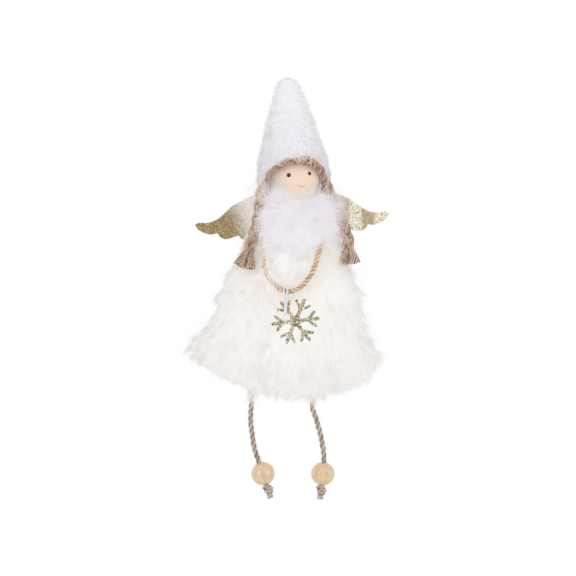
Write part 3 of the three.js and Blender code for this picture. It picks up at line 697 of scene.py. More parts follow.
def ramp(tree, factor, low, high):
    inputs = {"Value": factor, "From Min": low, "From Max": high}
    return add(tree, "ShaderNodeMapRange", inputs, interpolation_type="SMOOTHSTEP").outputs[0]


def shared_group(name, takes, gives):
    """A node group with named sockets, made once. Returns the group and, when it is new, its two ends."""
    found = bpy.data.node_groups.get(name)
    if found:
        return found, None, None
    group = bpy.data.node_groups.new(name, "ShaderNodeTree")
    for label, kind, value in takes:
        socket = group.interface.new_socket(label, in_out="INPUT", socket_type=kind)
        socket.default_value = value
    for label, kind in gives:
        group.interface.new_socket(label, in_out="OUTPUT", socket_type=kind)
    return group, group.nodes.new("NodeGroupInput"), group.nodes.new("NodeGroupOutput")


COLOUR, VALUE, VECTOR = "NodeSocketColor", "NodeSocketFloat", "NodeSocketVector"
GREY = (0.5, 0.5, 0.5, 1.0)


def shades(*names):
    """Colour sockets of a node group."""
    return [(name, COLOUR, GREY) for name in names]


def pile_group():
    """Hair colour from a darker root to a paler tip, the darker root being painted shade deep in the pile,
    with tufts and single hairs that differ a little at random, and painted shade towards a low height.
    """
    takes = shades("Root", "Tip", "Shade")
    takes += [("Patches", VALUE, 90.0), ("Low", VALUE, -1.0), ("High", VALUE, -0.9)]
    group, start, end = shared_group("pile colour", takes, [("Colour", COLOUR)])
    if start:
        given = start.outputs
        where = object_place(group)
        # Darker at the root than at the tip: painted shade deep in the pile.
        along = ramp(group, own_value(group, "hair_place"), 0.05, 0.75)
        body = mix(group, along, given["Root"], given["Tip"])
        patches = ramp(group, noise(group, where, given["Patches"]), 0.35, 0.7)
        broad = math_node(group, "MULTIPLY_ADD", patches, 0.4, 0.2)
        amount = math_node(group, "MULTIPLY", ramp(group, own_value(group, "hair_tint"), 0.35, 0.85), broad)
        # Below the High height the pile turns towards Shade, most at Low: painted shade towards the hem or
        # rim.
        height = add(group, "ShaderNodeSeparateXYZ", {0: where}).outputs[2]
        fade = add(group, "ShaderNodeMapRange", {0: height, 1: given["High"], 2: given["Low"]}).outputs[0]
        amount = math_node(group, "MULTIPLY_ADD", fade, 0.5, amount, clamp=True)
        group.links.new(mix(group, amount, body, given["Shade"]), end.inputs["Colour"])
    return group


def yarn_group():
    """Spun yarn: slanted fibres round each ply, with lighter and darker lengths, and deep yarn painted darker
    as painted shade between the yarns.
    """
    takes = shades("Light", "Dark") + [("Fibres", VALUE, 5.0), ("Lay", VALUE, 40.0)]
    group, start, end = shared_group("spun yarn", takes, [("Colour", COLOUR), ("Height", VALUE)])
    if start:
        given = start.outputs
        texture = add(group, "ShaderNodeTexCoord").outputs
        parts = add(group, "ShaderNodeSeparateXYZ", {0: texture["UV"]}).outputs
        around = math_node(group, "MULTIPLY", parts[0], given["Fibres"])
        slant = math_node(group, "MULTIPLY_ADD", parts[1], given["Lay"], around)
        wave = math_node(group, "SINE", math_node(group, "MULTIPLY", slant, 2 * math.pi))
        wave = math_node(group, "MULTIPLY_ADD", wave, 0.5, 0.5)
        fine = noise(group, texture["Object"], 2600.0, 3.0)
        broad = noise(group, texture["Object"], 380.0)
        height = math_node(group, "MULTIPLY_ADD", wave, 0.6, fine)
        lift = math_node(group, "MULTIPLY_ADD", own_value(group, "yarn_tone"), 0.9, 1.0)
        both = math_node(group, "MULTIPLY_ADD", height, 0.3, broad)
        # Deep yarn, low in yarn_rise, turns towards Dark: painted shade between the yarns; each yarn's own
        # tone differs at random.
        both = math_node(group, "MULTIPLY_ADD", own_value(group, "yarn_rise"), lift, both)
        tone = ramp(group, both, 1.15, 2.35)
        group.links.new(mix(group, tone, given["Dark"], given["Light"]), end.inputs["Colour"])
        group.links.new(height, end.inputs["Height"])
    return group


def glitter_group():
    """Loose glitter: each flake has its own tone and its own tilt; flakes picked at random are painted darker
    as painted shade or near white as painted glints.
    """
    takes = shades("Light", "Mid", "Dark") + [("Flakes", VALUE, FLAKES)]
    gives = [("Colour", COLOUR), ("Chance", VALUE), ("Roughness", VALUE), ("Normal", VECTOR)]
    group, start, end = shared_group("glitter", takes, gives)
    if start:
        given = start.outputs
        cells = add(group, "ShaderNodeTexVoronoi", {"Vector": object_place(group), "Scale": given["Flakes"]})
        own = cells.outputs["Color"]
        chance = add(group, "ShaderNodeSeparateColor", {0: own}).outputs
        # Flakes picked at random turn towards Dark as painted shade, and others towards Light as painted
        # glints.
        unlit_tone = mix(group, ramp(group, chance[0], 0.1, 0.6), given["Dark"], given["Mid"])
        tone = mix(group, ramp(group, chance[0], 0.72, 0.95), unlit_tone, given["Light"])
        rough = math_node(group, "MULTIPLY_ADD", chance[1], 0.4, 0.22)
        turned = add(group, "ShaderNodeNewGeometry").outputs["Normal"]
        tilt = add(group, "ShaderNodeVectorMath", {0: own, 1: (0.5, 0.5, 0.5)}, operation="SUBTRACT")
        tilt = add(group, "ShaderNodeVectorMath", {0: tilt.outputs[0], "Scale": 1.1}, operation="SCALE")
        turned = add(group, "ShaderNodeVectorMath", {0: turned, 1: tilt.outputs[0]}, operation="ADD")
        turned = add(group, "ShaderNodeVectorMath", {0: turned.outputs[0]}, operation="NORMALIZE")
        for (label, _), socket in zip(gives, (tone, chance[2], rough, turned.outputs[0])):
            group.links.new(socket, end.inputs[label])
    return group


def grain_group():
    """Wood grain along Z of the piece: long streaks and fine pores."""
    takes = shades("Light", "Dark") + [("Streaks", VALUE, 420.0)]
    group, start, end = shared_group("wood grain", takes, [("Colour", COLOUR), ("Height", VALUE)])
    if start:
        given = start.outputs
        inputs = {"Vector": object_place(group), "Scale": (1.0, 1.0, 0.3)}
        long_way = add(group, "ShaderNodeMapping", inputs).outputs[0]
        streaks = noise(group, long_way, given["Streaks"], 4.0)
        both = math_node(group, "MULTIPLY_ADD", noise(group, long_way, 2400.0), 0.2, streaks)
        tone = ramp(group, both, 0.5, 0.9)
        group.links.new(mix(group, tone, given["Light"], given["Dark"]), end.inputs["Colour"])
        group.links.new(both, end.inputs["Height"])
    return group


def place_group(tree, group, **values):
    """Outputs of a shared group in a material, with this material's values."""
    made = tree.nodes.new("ShaderNodeGroup")
    made.node_tree = group
    for name, value in values.items():
        made.inputs[name].default_value = rgba(value) if hasattr(value, "__len__") else value
    return made.outputs


def finish(name, **sockets):
    """A material with one Principled shader whose plain values are set on its own sockets."""
    material = bpy.data.materials.new(name)
    material.use_nodes = True
    tree = material.node_tree
    shader = tree.nodes["Principled BSDF"]
    for socket, value in sockets.items():
        shader.inputs[socket.replace("_", " ")].default_value = value
    return material, tree, shader


def feed(tree, shader, **sockets):
    """Links to a shader's sockets."""
    for name, socket in sockets.items():
        tree.links.new(socket, shader.inputs[name.replace("_", " ")])


def bump(tree, shader, height, strength, distance):
    inputs = {"Height": height, "Strength": strength, "Distance": distance}
    feed(tree, shader, Normal=add(tree, "ShaderNodeBump", inputs).outputs[0])


def pile_finish(name, root, tip, shade, patches, low=-1.0, high=-0.9):
    plain = {"Roughness": 0.9, "Sheen_Weight": 0.9, "Sheen_Roughness": 0.6, "Specular_IOR_Level": 0.15}
    material, tree, shader = finish(name, **plain)
    values = {"Root": root, "Tip": tip, "Shade": shade, "Patches": patches, "Low": low, "High": high}
    feed(tree, shader, Base_Color=place_group(tree, pile_group(), **values)["Colour"])
    return material


def yarn_finish(name, light, dark, fibres, lay):
    material, tree, shader = finish(name, Roughness=0.85, Sheen_Weight=0.25, Specular_IOR_Level=0.2)
    yarn = place_group(tree, yarn_group(), Light=light, Dark=dark, Fibres=fibres, Lay=lay)
    feed(tree, shader, Base_Color=yarn["Colour"])
    bump(tree, shader, yarn["Height"], 0.6, 0.00012)
    return material


def wood_finish(name, tones, streaks, relief=0.0, **sockets):
    material, tree, shader = finish(name, **sockets)
    grain = place_group(tree, grain_group(), Light=tones.bead_light, Dark=tones.bead_dark, Streaks=streaks)
    feed(tree, shader, Base_Color=grain["Colour"])
    if relief:
        bump(tree, shader, grain["Height"], relief, 0.0001)
    return material


def mottled(name, low, high, scale, detail=2.0, relief=0.0, **sockets):
    """A finish whose colour wavers between two colours."""
    material, tree, shader = finish(name, **sockets)
    waver = noise(tree, object_place(tree), scale, detail)
    feed(tree, shader, Base_Color=mix(tree, waver, low, high))
    if relief:
        bump(tree, shader, waver, relief, 0.0006)
    return material


def dressed(piece, material, slot, body=None, replaces=()):
    """A piece with its finish and the body that it moves with. Its slot argument is not used."""
    piece.data.materials.clear()
    piece.data.materials.append(material)
    if body:
        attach(piece, body)
    if replaces:
        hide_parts(*replaces)
    return piece


def covered(material, *names):
    """Carried-over solids with their finish."""
    for name in names:
        NODES[name].data.materials.clear()
        NODES[name].data.materials.append(material)


# Operators


class DOLL_OT_stage(bpy.types.Operator):
    """Camera, lamps, white surroundings and floor"""

    bl_idname = "doll.stage"
    bl_label = "Stage"

    def execute(self, context):
        scene, sizes = context.scene, context.scene.doll_sizes
        lens = bpy.data.cameras.new("camera")
        lens.sensor_width = SENSOR
        lens.lens = SENSOR * sizes.camera_distance / sizes.picture_width
        lens.clip_end = 20
        camera = bpy.data.objects.new("camera", lens)
        camera.location = (CAMERA_X, -sizes.camera_distance, CAMERA_Z)
        camera.rotation_euler = (math.radians(90), 0, 0)
        scene.collection.objects.link(camera)
        scene.camera = camera
        scene.world = self.white_room()
        for name, place in LAMPS.items():
            lamp = bpy.data.lights.new(name, "AREA")
            lamp.size = LAMP_SIZE
            lamp.energy = LAMP_POWER
            holder = bpy.data.objects.new(name, lamp)
            holder.location = place
            toward = Vector(DOLL_MIDDLE) - holder.location
            holder.rotation_euler = toward.to_track_quat("-Z", "Y").to_euler()
            scene.collection.objects.link(holder)
        ground = bmesh.new()
        bmesh.ops.create_grid(ground, x_segments=8, y_segments=8, size=FLOOR_HALF)
        bmesh.ops.translate(ground, verts=ground.verts[:], vec=(0, 0, FLOOR_Z))
        floor = from_bmesh("floor", ground, smooth=False)
        pale, paler = (0.93, 0.93, 0.93), (0.96, 0.96, 0.96)
        floor.data.materials.append(mottled("floor white", pale, paler, 30.0, Roughness=0.9))
        scene.view_settings.view_transform = "Standard"
        return {"FINISHED"}

    def white_room(self):
        """Plain white where it is seen, and a little less as a light."""
        world = bpy.data.worlds.new("white room")
        world.use_nodes = True
        tree = world.node_tree
        path = add(tree, "ShaderNodeLightPath").outputs
        seen = math_node(tree, "MAXIMUM", path["Is Camera Ray"], path["Is Glossy Ray"])
        seen = math_node(tree, "MAXIMUM", seen, path["Is Transmission Ray"])
        level = add(tree, "ShaderNodeMix", {0: seen, 2: ROOM_LIGHT, 3: 1.0}).outputs[0]
        tree.links.new(level, tree.nodes["Background"].inputs["Strength"])
        tree.nodes["Background"].inputs["Color"].default_value = (1, 1, 1, 1)
        return world


class DOLL_OT_legs(bpy.types.Operator):
    """Two legs of plied twine with loose fibres, wooden beads and tied ends"""

    bl_idname = "doll.legs"
    bl_label = "Legs"

    def execute(self, context):
        sizes, tones = context.scene.doll_sizes, context.scene.doll_colours
        # Deep fibres of the twine are painted darker: painted shade between the plies.
        twine = yarn_finish("leg twine", tones.leg_light, tones.leg_deep_shade, 5.0, 60.0)
        gloss = {"Roughness": 0.45, "Coat_Weight": 1.0, "Coat_Roughness": 0.06}
        wood = wood_finish("varnished bead wood", tones, 700.0, relief=0.15, **gloss)
        for side, hip, route, bead, lean, seed in (
            ("left", LEFT_HIP, LEFT_LEG, LEFT_BEAD, LEFT_LEAN, 11),
            ("right", RIGHT_HIP, RIGHT_LEG, RIGHT_BEAD, RIGHT_LEAN, 12),
        ):
            hip = np.array(hip)
            knee = hip - (0, 0, LEG_BEND_GAP)
            middle = knee + bead
            down = np.array([math.sin(math.radians(lean)), 0, -math.cos(math.radians(lean))])
            points = [hip + (0, 0, 1.6), hip - (0, 0, 1.2)]
            points += [knee + p for p in route]
            points += [middle + d * down for d in (-BEAD_FACE - 1, 0, BEAD_FACE, BEAD_FACE + 1.2)]
            line = smooth_line(points, 150)
            radius = sizes.leg_twine / 2
            piece = plied(f"{side}_leg_twine", line, sizes.leg_twine, LEG_LAY * MM)
            nodes = [f"{side}_leg_{part}" for part in ("anchor", "root", "cord")]
            dressed(piece, twine, "leg_twine", None, nodes)
            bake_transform(piece)
            tied = self.tied_end(side, middle + (BEAD_FACE + 2.5) * down, down, radius)
            dressed(tied, twine, "leg_twine", f"{side}_leg", [f"{side}_knot"])
            self.loose_fibres(side, line, radius, seed, twine)
            ball = self.turned_bead(f"{side}_bead_turned", middle, down)
            dressed(ball, wood, "varnished_wood", f"{side}_foot", [f"{side}_bead"])
        return {"FINISHED"}

    def loose_fibres(self, side, line, radius, seed, twine):
        chance = np.random.default_rng(seed)
        at = chance.integers(34, 116, LEG_FIBRES)
        tangents, sides, ups = carried_frame(line)
        turn = chance.random((LEG_FIBRES, 1)) * 2 * math.pi
        out = np.cos(turn) * sides[at] + np.sin(turn) * ups[at]
        roots = line[at] + out * radius * 0.85
        lay = {"lean": (30, 80), "droop": 0.1, "curl": 0.3, "levels": 4, "tuft": 2, "pull": 0.0}
        lines, _ = pile_lines(roots, out, tangents[at], 1.7 * MM, seed, **lay)
        fibres = hair_mesh(f"{side}_leg_fibres", lines, 0.07 * MM, out, seed, 0.3)
        dressed(fibres, twine, "leg_twine", f"{side}_leg")

    def tied_end(self, side, centre, down, radius):
        """A wrapped knot that narrows to its short cut end."""
        across = np.array([down[2], 0, -down[0]])
        deep = np.array([0, 1.0, 0])
        wraps = []
        for share in np.linspace(0, 1, 18):
            turn, reach, drop = 3.4 * math.pi * share, 1.35 - 0.75 * share, -1.3 + 2.5 * share
            wraps.append(centre + reach * (math.cos(turn) * across + math.sin(turn) * deep) + drop * down)
        start = [centre - 2.6 * down, centre - 2.0 * down]
        end = [centre + d * down + 0.3 * across for d in (2.0, 2.6, 3.1)]
        line = smooth_line([*start, *wraps, *end], 140)
        spread = np.interp(np.linspace(0, 1, 140), [0, 0.9, 1], [0.5, 0.5, 0.8])
        return tubes(f"{side}_knot_twine", plies(line, 3, radius * spread, 6.0 * MM), radius * 0.5, core=line)

    def turned_bead(self, name, middle, down):
        """A ball turned on a lathe, with a bore whose edges are chamfered."""
        profile = bmesh.new()
        start = math.asin((BEAD_BORE_R + BEAD_CHAMFER) / BEAD_R)
        points = [(BEAD_BORE_R, -BEAD_BORE_HALF), (BEAD_BORE_R, BEAD_BORE_HALF)]
        for a in np.linspace(start, math.pi - start, 29):
            points.append((BEAD_R * math.sin(a), BEAD_R * math.cos(a)))
        corners = [profile.verts.new((r * MM, 0, h * MM)) for r, h in points]
        for a, b in zip(corners, corners[1:] + corners[:1]):
            profile.edges.new((a, b))
        bmesh.ops.spin(
            profile,
            geom=profile.edges[:] + profile.verts[:],
            cent=(0, 0, 0),
            axis=(0, 0, 1),
            angle=2 * math.pi,
            steps=48,
            use_merge=True,
        )
        bmesh.ops.remove_doubles(profile, verts=profile.verts[:], dist=1e-6)
        bmesh.ops.recalc_face_normals(profile, faces=profile.faces[:])
        turn = Vector((0, 0, -1)).rotation_difference(Vector(down)).to_matrix().to_4x4()
        place = Matrix.Translation(Vector(middle) * MM) @ turn
        bmesh.ops.transform(profile, matrix=place, verts=profile.verts[:])
        return from_bmesh(name, profile)


class DOLL_OT_necklace(bpy.types.Operator):
    """Twine necklace, the thread loops on it and the glitter snowflake"""

    bl_idname = "doll.necklace"
    bl_label = "Necklace and snowflake"

    def execute(self, context):
        sizes, tones = context.scene.doll_sizes, context.scene.doll_colours
        line = smooth_line(NECKLACE, 210)
        # Deep fibres of the twine are painted darker: painted shade between the plies.
        twine = yarn_finish("necklace twine", tones.necklace_light, tones.necklace_deep_shade, 5.0, 90.0)
        piece = plied("necklace_twine", line, sizes.necklace_twine, NECKLACE_LAY * MM)
        dressed(piece, twine, "gold_twine", None, ["necklace_cord"])
        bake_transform(piece)
        # The thread's deep yarn is painted darker: painted shade between its plies.
        dark = tuple(0.85 * c for c in tones.thread)
        white = yarn_finish("white thread", tones.thread, dark, 3.0, 60.0)
        thread = tubes("pendant_thread_plied", self.thread_loops(), 0.25 * MM, closed=True)
        dressed(thread, white, "white_thread", "pendant", ["pendant_thread"])
        gold, tree, shader = finish("snowflake glitter", Metallic=0.55)
        values = {"Light": tones.gold_glint, "Mid": tones.flake_mid, "Dark": tones.flake_shade}
        flakes = place_group(tree, glitter_group(), Flakes=FLAKES, **values)
        feed(tree, shader, Base_Color=flakes["Colour"])
        feed(tree, shader, Roughness=flakes["Roughness"], Normal=flakes["Normal"])
        covered(gold, "snowflake")
        shadowless(NODES["snowflake"])
        return {"FINISHED"}

    def thread_loops(self):
        """Plies of two loops side by side, round the necklace above and the snowflake's arm below."""
        loops = []
        for aside in (-0.75, 0.75):
            upper, lower = [], []
            for a in np.linspace(0, math.pi, 13):
                y, z = THREAD_BEND * math.cos(a), THREAD_BEND * math.sin(a)
                upper.append((aside, y, z))
                lower.append((0.3 * aside, -y, -THREAD_DROP - z))
            upper.append((0.5 * aside, -THREAD_BEND, -THREAD_DROP / 2))
            lower.append((0.5 * aside, THREAD_BEND, -THREAD_DROP / 2))
            loop = smooth_line([np.array(NECKLACE_LOW) + p for p in [*upper, *lower, upper[0]]], 97)
            loops += [ply[:-1] for ply in plies(loop, 2, 0.2 * MM, line_length(loop) / 14)]
        return loops


class DOLL_OT_dress(bpy.types.Operator):
    """Stuffed bell dress with a long pile"""

    bl_idname = "doll.dress"
    bl_label = "Dress"

    def execute(self, context):
        sizes, tones = context.scene.doll_sizes, context.scene.doll_colours
        tone_set = (tones.dress_root_shade, tones.dress_tip, tones.dress_cool_and_hem_shade)
        # From 0.085 m to 0.14 m below the hat's tip the pile darkens: painted shade towards the hem.
        cover = (pile_finish("dress pile", *tone_set, 70.0, -0.14, -0.085), "dress_plush")
        padding = wrapped("dress_padding", self.cloth, (0, 1), 72, 60)
        dressed(padding, *cover, "doll", ["dress_front", "dress_back"])
        full = {"lean": (46, 66), "droop": 0.12, "curl": 0.14, "levels": 3, "tuft": 16, "pull": 0.55}
        loose = {"lean": (24, 62), "droop": 0.1, "curl": 0.25, "levels": 4, "tuft": 3, "pull": 0.2}
        for name, part, shares, angles, hem_pile, uneven, seed in (
            ("front_bodice", 0.15, (0.03, 0.45), FRONT, 0.72, 0.2, 21),
            ("front_skirt", 0.21, (0.45, 0.8), FRONT, 0.72, 0.2, 22),
            ("front_hem", 0.195, (0.8, 0.965), FRONT, 0.72, 0.35, 23),
            ("back_bodice", 0.1, (0.03, 0.45), BACK, 0.5, 0.2, 24),
            ("back_skirt", 0.145, (0.45, 0.8), BACK, 0.5, 0.2, 25),
            ("back_hem", 0.14, (0.8, 0.965), BACK, 0.5, 0.35, 26),
        ):
            number = int(part * sizes.dress_hairs)
            roots, out, share, angle = scattered(
                dress_form, number, seed, shares, angles, DRESS_ROOTS, self.spine
            )
            nap = downhill(out)
            pile = sizes.dress_pile * np.interp(share, [0, 0.8, 0.96], [1, 1, hem_pile])
            pile *= self.edge_pile(share, angle)
            grown = (roots, out, nap)
            fleece(f"dress_pile_{name}", grown, pile, sizes.dress_hair, seed, cover, uneven=uneven, **full)
            some = np.random.default_rng(seed).choice(number, number // 9, replace=False)
            grown, pile = (roots[some], out[some], nap[some]), 1.3 * pile[some]
            fleece(f"dress_loose_{name}", grown, pile, 0.45 * sizes.dress_hair, seed + 40, cover, **loose)
        self.veils(sizes, cover)
        return {"FINISHED"}

    def veils(self, sizes, cover):
        """Hairs that lie over the necklace, the scarf's end and the tops of the legs."""
        thin = 0.7 * sizes.dress_hair
        chance = np.random.default_rng(27)
        route = smooth_line(NECKLACE[2:9], 120)[chance.integers(8, 104, NECKLACE_VEIL_HAIRS)]
        beside = chance.uniform((0.6, 1.0, -0.5), (3.4, 2.0, 3.0), (NECKLACE_VEIL_HAIRS, 3))
        roots = route + beside * MM
        grown = (roots, same_way((0, -1, 0), roots), same_way((-0.8, -0.3, -0.8), roots))
        lay = {"lean": (15, 60), "droop": 0.3, "curl": 0.2, "levels": 4, "tuft": 5, "pull": 0.4}
        fleece("dress_pile_over_necklace", grown, 0.9 * sizes.dress_pile, thin, 27, cover, **lay)

        roots, out, share, _ = scattered(tail_form, SCARF_VEIL_HAIRS, 28, (0.74, 1), FRONT, -0.8, self.spine)
        kept = np.random.default_rng(29).random(SCARF_VEIL_HAIRS) < ((share - 0.74) / 0.26) ** 0.8
        grown = (roots[kept], out[kept], downhill(out[kept]))
        lay = {"lean": (30, 75), "droop": 0.15, "curl": 0.2, "levels": 3, "tuft": 8, "pull": 0.3}
        fleece("dress_pile_over_scarf", grown, 0.9 * sizes.dress_pile, thin, 28, cover, **lay)

        lay = {"lean": (60, 95), "droop": 0.2, "curl": 0.15, "levels": 4, "tuft": 5, "pull": 0.4}
        for side, hip, seed in (("left", LEFT_HIP, 30), ("right", RIGHT_HIP, 34)):
            chance = np.random.default_rng(seed)
            roots = (np.array(hip) + chance.uniform((-1.9, -3.4, 0.5), (1.9, -1.2, 3.5), (LEG_WISPS, 3))) * MM
            out = same_way((0, -1, 0), roots)
            grown = (roots, out, downhill(out))
            name, body = f"dress_pile_over_{side}_leg", f"{side}_hip"
            fleece(name, grown, 0.85 * sizes.dress_pile, thin, seed, cover, body, **lay)

    def cloth(self, share, angle):
        """The stuffed cloth under the pile."""
        inner = 0.02 + 0.94 * share
        return dress_form(inner, angle, -3.6 * np.interp(inner, [0, 0.85, 1], [1, 1, 0.5]))

    def spine(self, places):
        """The dress's middle line, level with each place."""
        share = np.clip((BODY_PLACE[2] - NECK_DROP - places[:, 2] / MM) / DRESS_LENGTH, 0, 1)
        line = np.stack([0 * share, 0 * share, -NECK_DROP - 0.94 * DRESS_LENGTH * share], 1)
        return tilted(line, BODY_TILT, BODY_PLACE)

    def edge_pile(self, share, angle):
        """How much longer or shorter the pile is towards the left and right edges."""
        left = np.interp(share, LEFT_PILE_SHARES, LEFT_PILE)
        right = np.interp(share, RIGHT_PILE_SHARES, RIGHT_PILE)
        aside = np.clip((np.abs(np.cos(angle)) - 0.15) / 0.45, 0, 1)
        return 1 + aside * (np.where(np.cos(angle) < 0, left, right) - 1)


class DOLL_OT_hat(bpy.types.Operator):
    """Pointed hat of short pile"""

    bl_idname = "doll.hat"
    bl_label = "Hat"

    def execute(self, context):
        sizes, tones = context.scene.doll_sizes, context.scene.doll_colours
        tone_set = (tones.hat_root_shade, tones.hat_tip, tones.hat_tufts_and_rim_shade)
        # From 0.006 m to 0.042 m below the tip the pile darkens: painted shade towards the rim.
        cover = (pile_finish("hat pile", *tone_set, 220.0, -0.042, -0.006), "hat_plush")
        felt = bmesh.new()
        felt.from_mesh(NODES["hat"].data)
        bmesh.ops.remove_doubles(felt, verts=felt.verts[:], dist=1e-6)
        bmesh.ops.recalc_face_normals(felt, faces=felt.faces[:])
        felt.normal_update()
        for corner, way in [(v, v.normal.copy()) for v in felt.verts]:
            corner.co -= way * 0.7 * MM
        padding = from_bmesh("hat_padding", felt)
        dressed(padding, *cover, "doll", ["hat"])

        hairs, shares = sizes.hat_hairs, (0.004, 0.995)
        roots, out, share, _ = scattered(hat_form, hairs, 31, shares, AROUND, -0.7, self.axis)
        pile = sizes.hat_pile * np.interp(share, [0, 0.16], [0.45, 1])
        lay = {"lean": (35, 62), "droop": 0.12, "curl": 0.16, "levels": 3, "tuft": 10, "pull": 0.35}
        fleece("hat_pile", (roots, out, downhill(out)), pile, sizes.hat_hair, 31, cover, **lay)

        chance = np.random.default_rng(32)
        angle = chance.uniform(*AROUND, HAT_RIM_HAIRS)
        roots = hat_form(np.ones(HAT_RIM_HAIRS), angle, chance.uniform(-2.4, -0.4, HAT_RIM_HAIRS))
        grown = (roots, unit(roots - self.axis(roots)), same_way((0, 0, -1), roots))
        lay = {"lean": (55, 115), "droop": 0.15, "curl": 0.2, "levels": 3, "tuft": 6, "pull": 0.3}
        fleece("hat_rim_pile", grown, 1.05 * sizes.hat_pile, sizes.hat_hair, 32, cover, **lay)

        roots, out, _, _ = scattered(hat_form, HAT_EDGE_HAIRS, 33, (0.92, 0.999), AROUND, -0.4, self.axis)
        lay = {"lean": (58, 84), "droop": 0.12, "curl": 0.16, "levels": 3, "tuft": 6, "pull": 0.3}
        grown = (roots, out, downhill(out))
        fleece("hat_edge_pile", grown, 1.15 * sizes.hat_pile, sizes.hat_hair, 33, cover, **lay)
        return {"FINISHED"}

    def axis(self, places):
        """The hat's middle line, a little below each place."""
        depth = np.clip(-places[:, 2] / MM, 4, None)
        return tilted(np.stack([0 * depth, 0 * depth, -depth - 2], 1), HAT_TILT)


class DOLL_OT_scarf(bpy.types.Operator):
    """Fluffy scarf of fine down"""

    bl_idname = "doll.scarf"
    bl_label = "Scarf"

    def execute(self, context):
        sizes, tones = context.scene.doll_sizes, context.scene.doll_colours
        tone_set = (tones.scarf_root_shade, tones.scarf_tip, tones.scarf_shade)
        cover = (pile_finish("scarf down", *tone_set, 260.0), "scarf_down")
        roll = wrapped("scarf_roll", lambda s, a: roll_form(s, a, -1.6), (0, 1), 56, 20)
        dressed(roll, *cover, "doll", ["fluff_scarf"])
        tail = wrapped("scarf_tail", lambda s, a: tail_form(s, a, -1.4), (0, 1), 32, 26)
        dressed(tail, *cover, "doll")
        shadowless(roll, tail)
        on_roll, on_tail = (roll_form, self.ring), (tail_form, self.middle)
        full = {"droop": 0.12, "curl": 0.45, "levels": 4, "tuft": 16, "pull": 0.55}
        for name, (form, inside), part, shares, turns, lean, seed in (
            ("roll", on_roll, 0.45, (-0.3, 0.04), (0, 2), (70, 110), 41),
            ("tail", on_tail, 0.55, (0.03, 0.99), (0, 2), (25, 80), 42),
            ("nape", on_roll, 0.18, (0.0, 0.5), (-0.08, 1.08), (30, 80), 50),
        ):
            number = int(part * sizes.scarf_hairs)
            angles = [turn * math.pi for turn in turns]
            roots, out, share, angle = scattered(form, number, seed, shares, angles, -1.2, inside)
            nap = downhill(out)
            pile = np.full(number, sizes.scarf_down)
            if form is roll_form:
                pile *= np.interp(share, [-0.1, 0.04], [1, 0.5])
                pile *= 1 - 0.75 * np.exp(-(((angle - 1.72 * math.pi) / (0.16 * math.pi)) ** 2))
            else:
                pile *= np.interp(share, [0.03, 0.25, 0.7, 1], [0.6, 1, 0.9, 0.4])
                nap = unit(nap + 0.6 * np.cos(angle)[:, None] * np.array([1.0, 0, 0]))
            name, grown = f"scarf_down_{name}", (roots, out, nap)
            fleece(name, grown, pile, sizes.scarf_hair, seed, cover, soft=0.2, lean=lean, **full)

        loose = {"lean": (30, 90), "droop": 0.15, "curl": 0.4, "levels": 5, "tuft": 3, "pull": 0.3}
        thin = 0.7 * sizes.scarf_hair
        for name, (form, inside), number, shares, turns, way, reach, seed in (
            ("left_wisps", on_tail, 420, (0.05, 0.75), (0.85, 1.25), (-1, -0.2, -0.5), 1.3, 43),
            ("right_wisps", on_tail, 1200, (0.0, 0.5), (1.7, 2.15), (1, -0.3, -0.2), 1.7, 44),
            ("plait_wisps", on_roll, 820, (-0.08, 0.14), (1.8, 2.08), (0.7, -0.75, 0.2), 1.7, 48),
            ("left_haze", on_roll, 560, (0.0, 0.3), (1.02, 1.2), (0.08, -0.3, 1), 1.85, 49),
            ("low_wisps", on_tail, 520, (0.5, 1), (1, 2), (-0.3, -0.2, -1), 0.9, 47),
            ("cheek_wisps", on_roll, 760, (0.05, 0.3), (1.08, 1.42), (-0.2, -0.2, 0.8), 0.95, 45),
            ("throat_wisps", on_roll, 420, (0.24, 0.5), (1.15, 1.85), (0, 0.1, 1), 0.6, 51),
            ("temple_wisps", on_roll, 260, (0.0, 0.3), (1.92, 2.06), (0.8, -0.6, 0.6), 1.2, 46),
        ):
            angles = [turn * math.pi for turn in turns]
            roots, out, _, _ = scattered(form, number, seed, shares, angles, -0.5, inside)
            grown = (roots, out, same_way(way, out))
            fleece(f"scarf_{name}", grown, reach * sizes.scarf_down, thin, seed, cover, soft=0.15, **loose)
        return {"FINISHED"}

    def ring(self, places):
        """The roll's middle line, at each place's angle."""
        local = places / MM - np.array(BODY_PLACE)
        angle = np.arctan2(local[:, 1], local[:, 0] - SCARF_SIDE)
        return roll_form(0 * angle + 0.25, angle, -SCARF_ROLL_R)

    def middle(self, places):
        """The tail's middle line, level with each place."""
        depth = -(places[:, 2] / MM - BODY_PLACE[2])
        rows = np.array(SCARF_TAIL, float)
        return tail_form(np.interp(depth, rows[:, 0], np.linspace(0, 1, len(rows))), 0 * depth, -50.0)


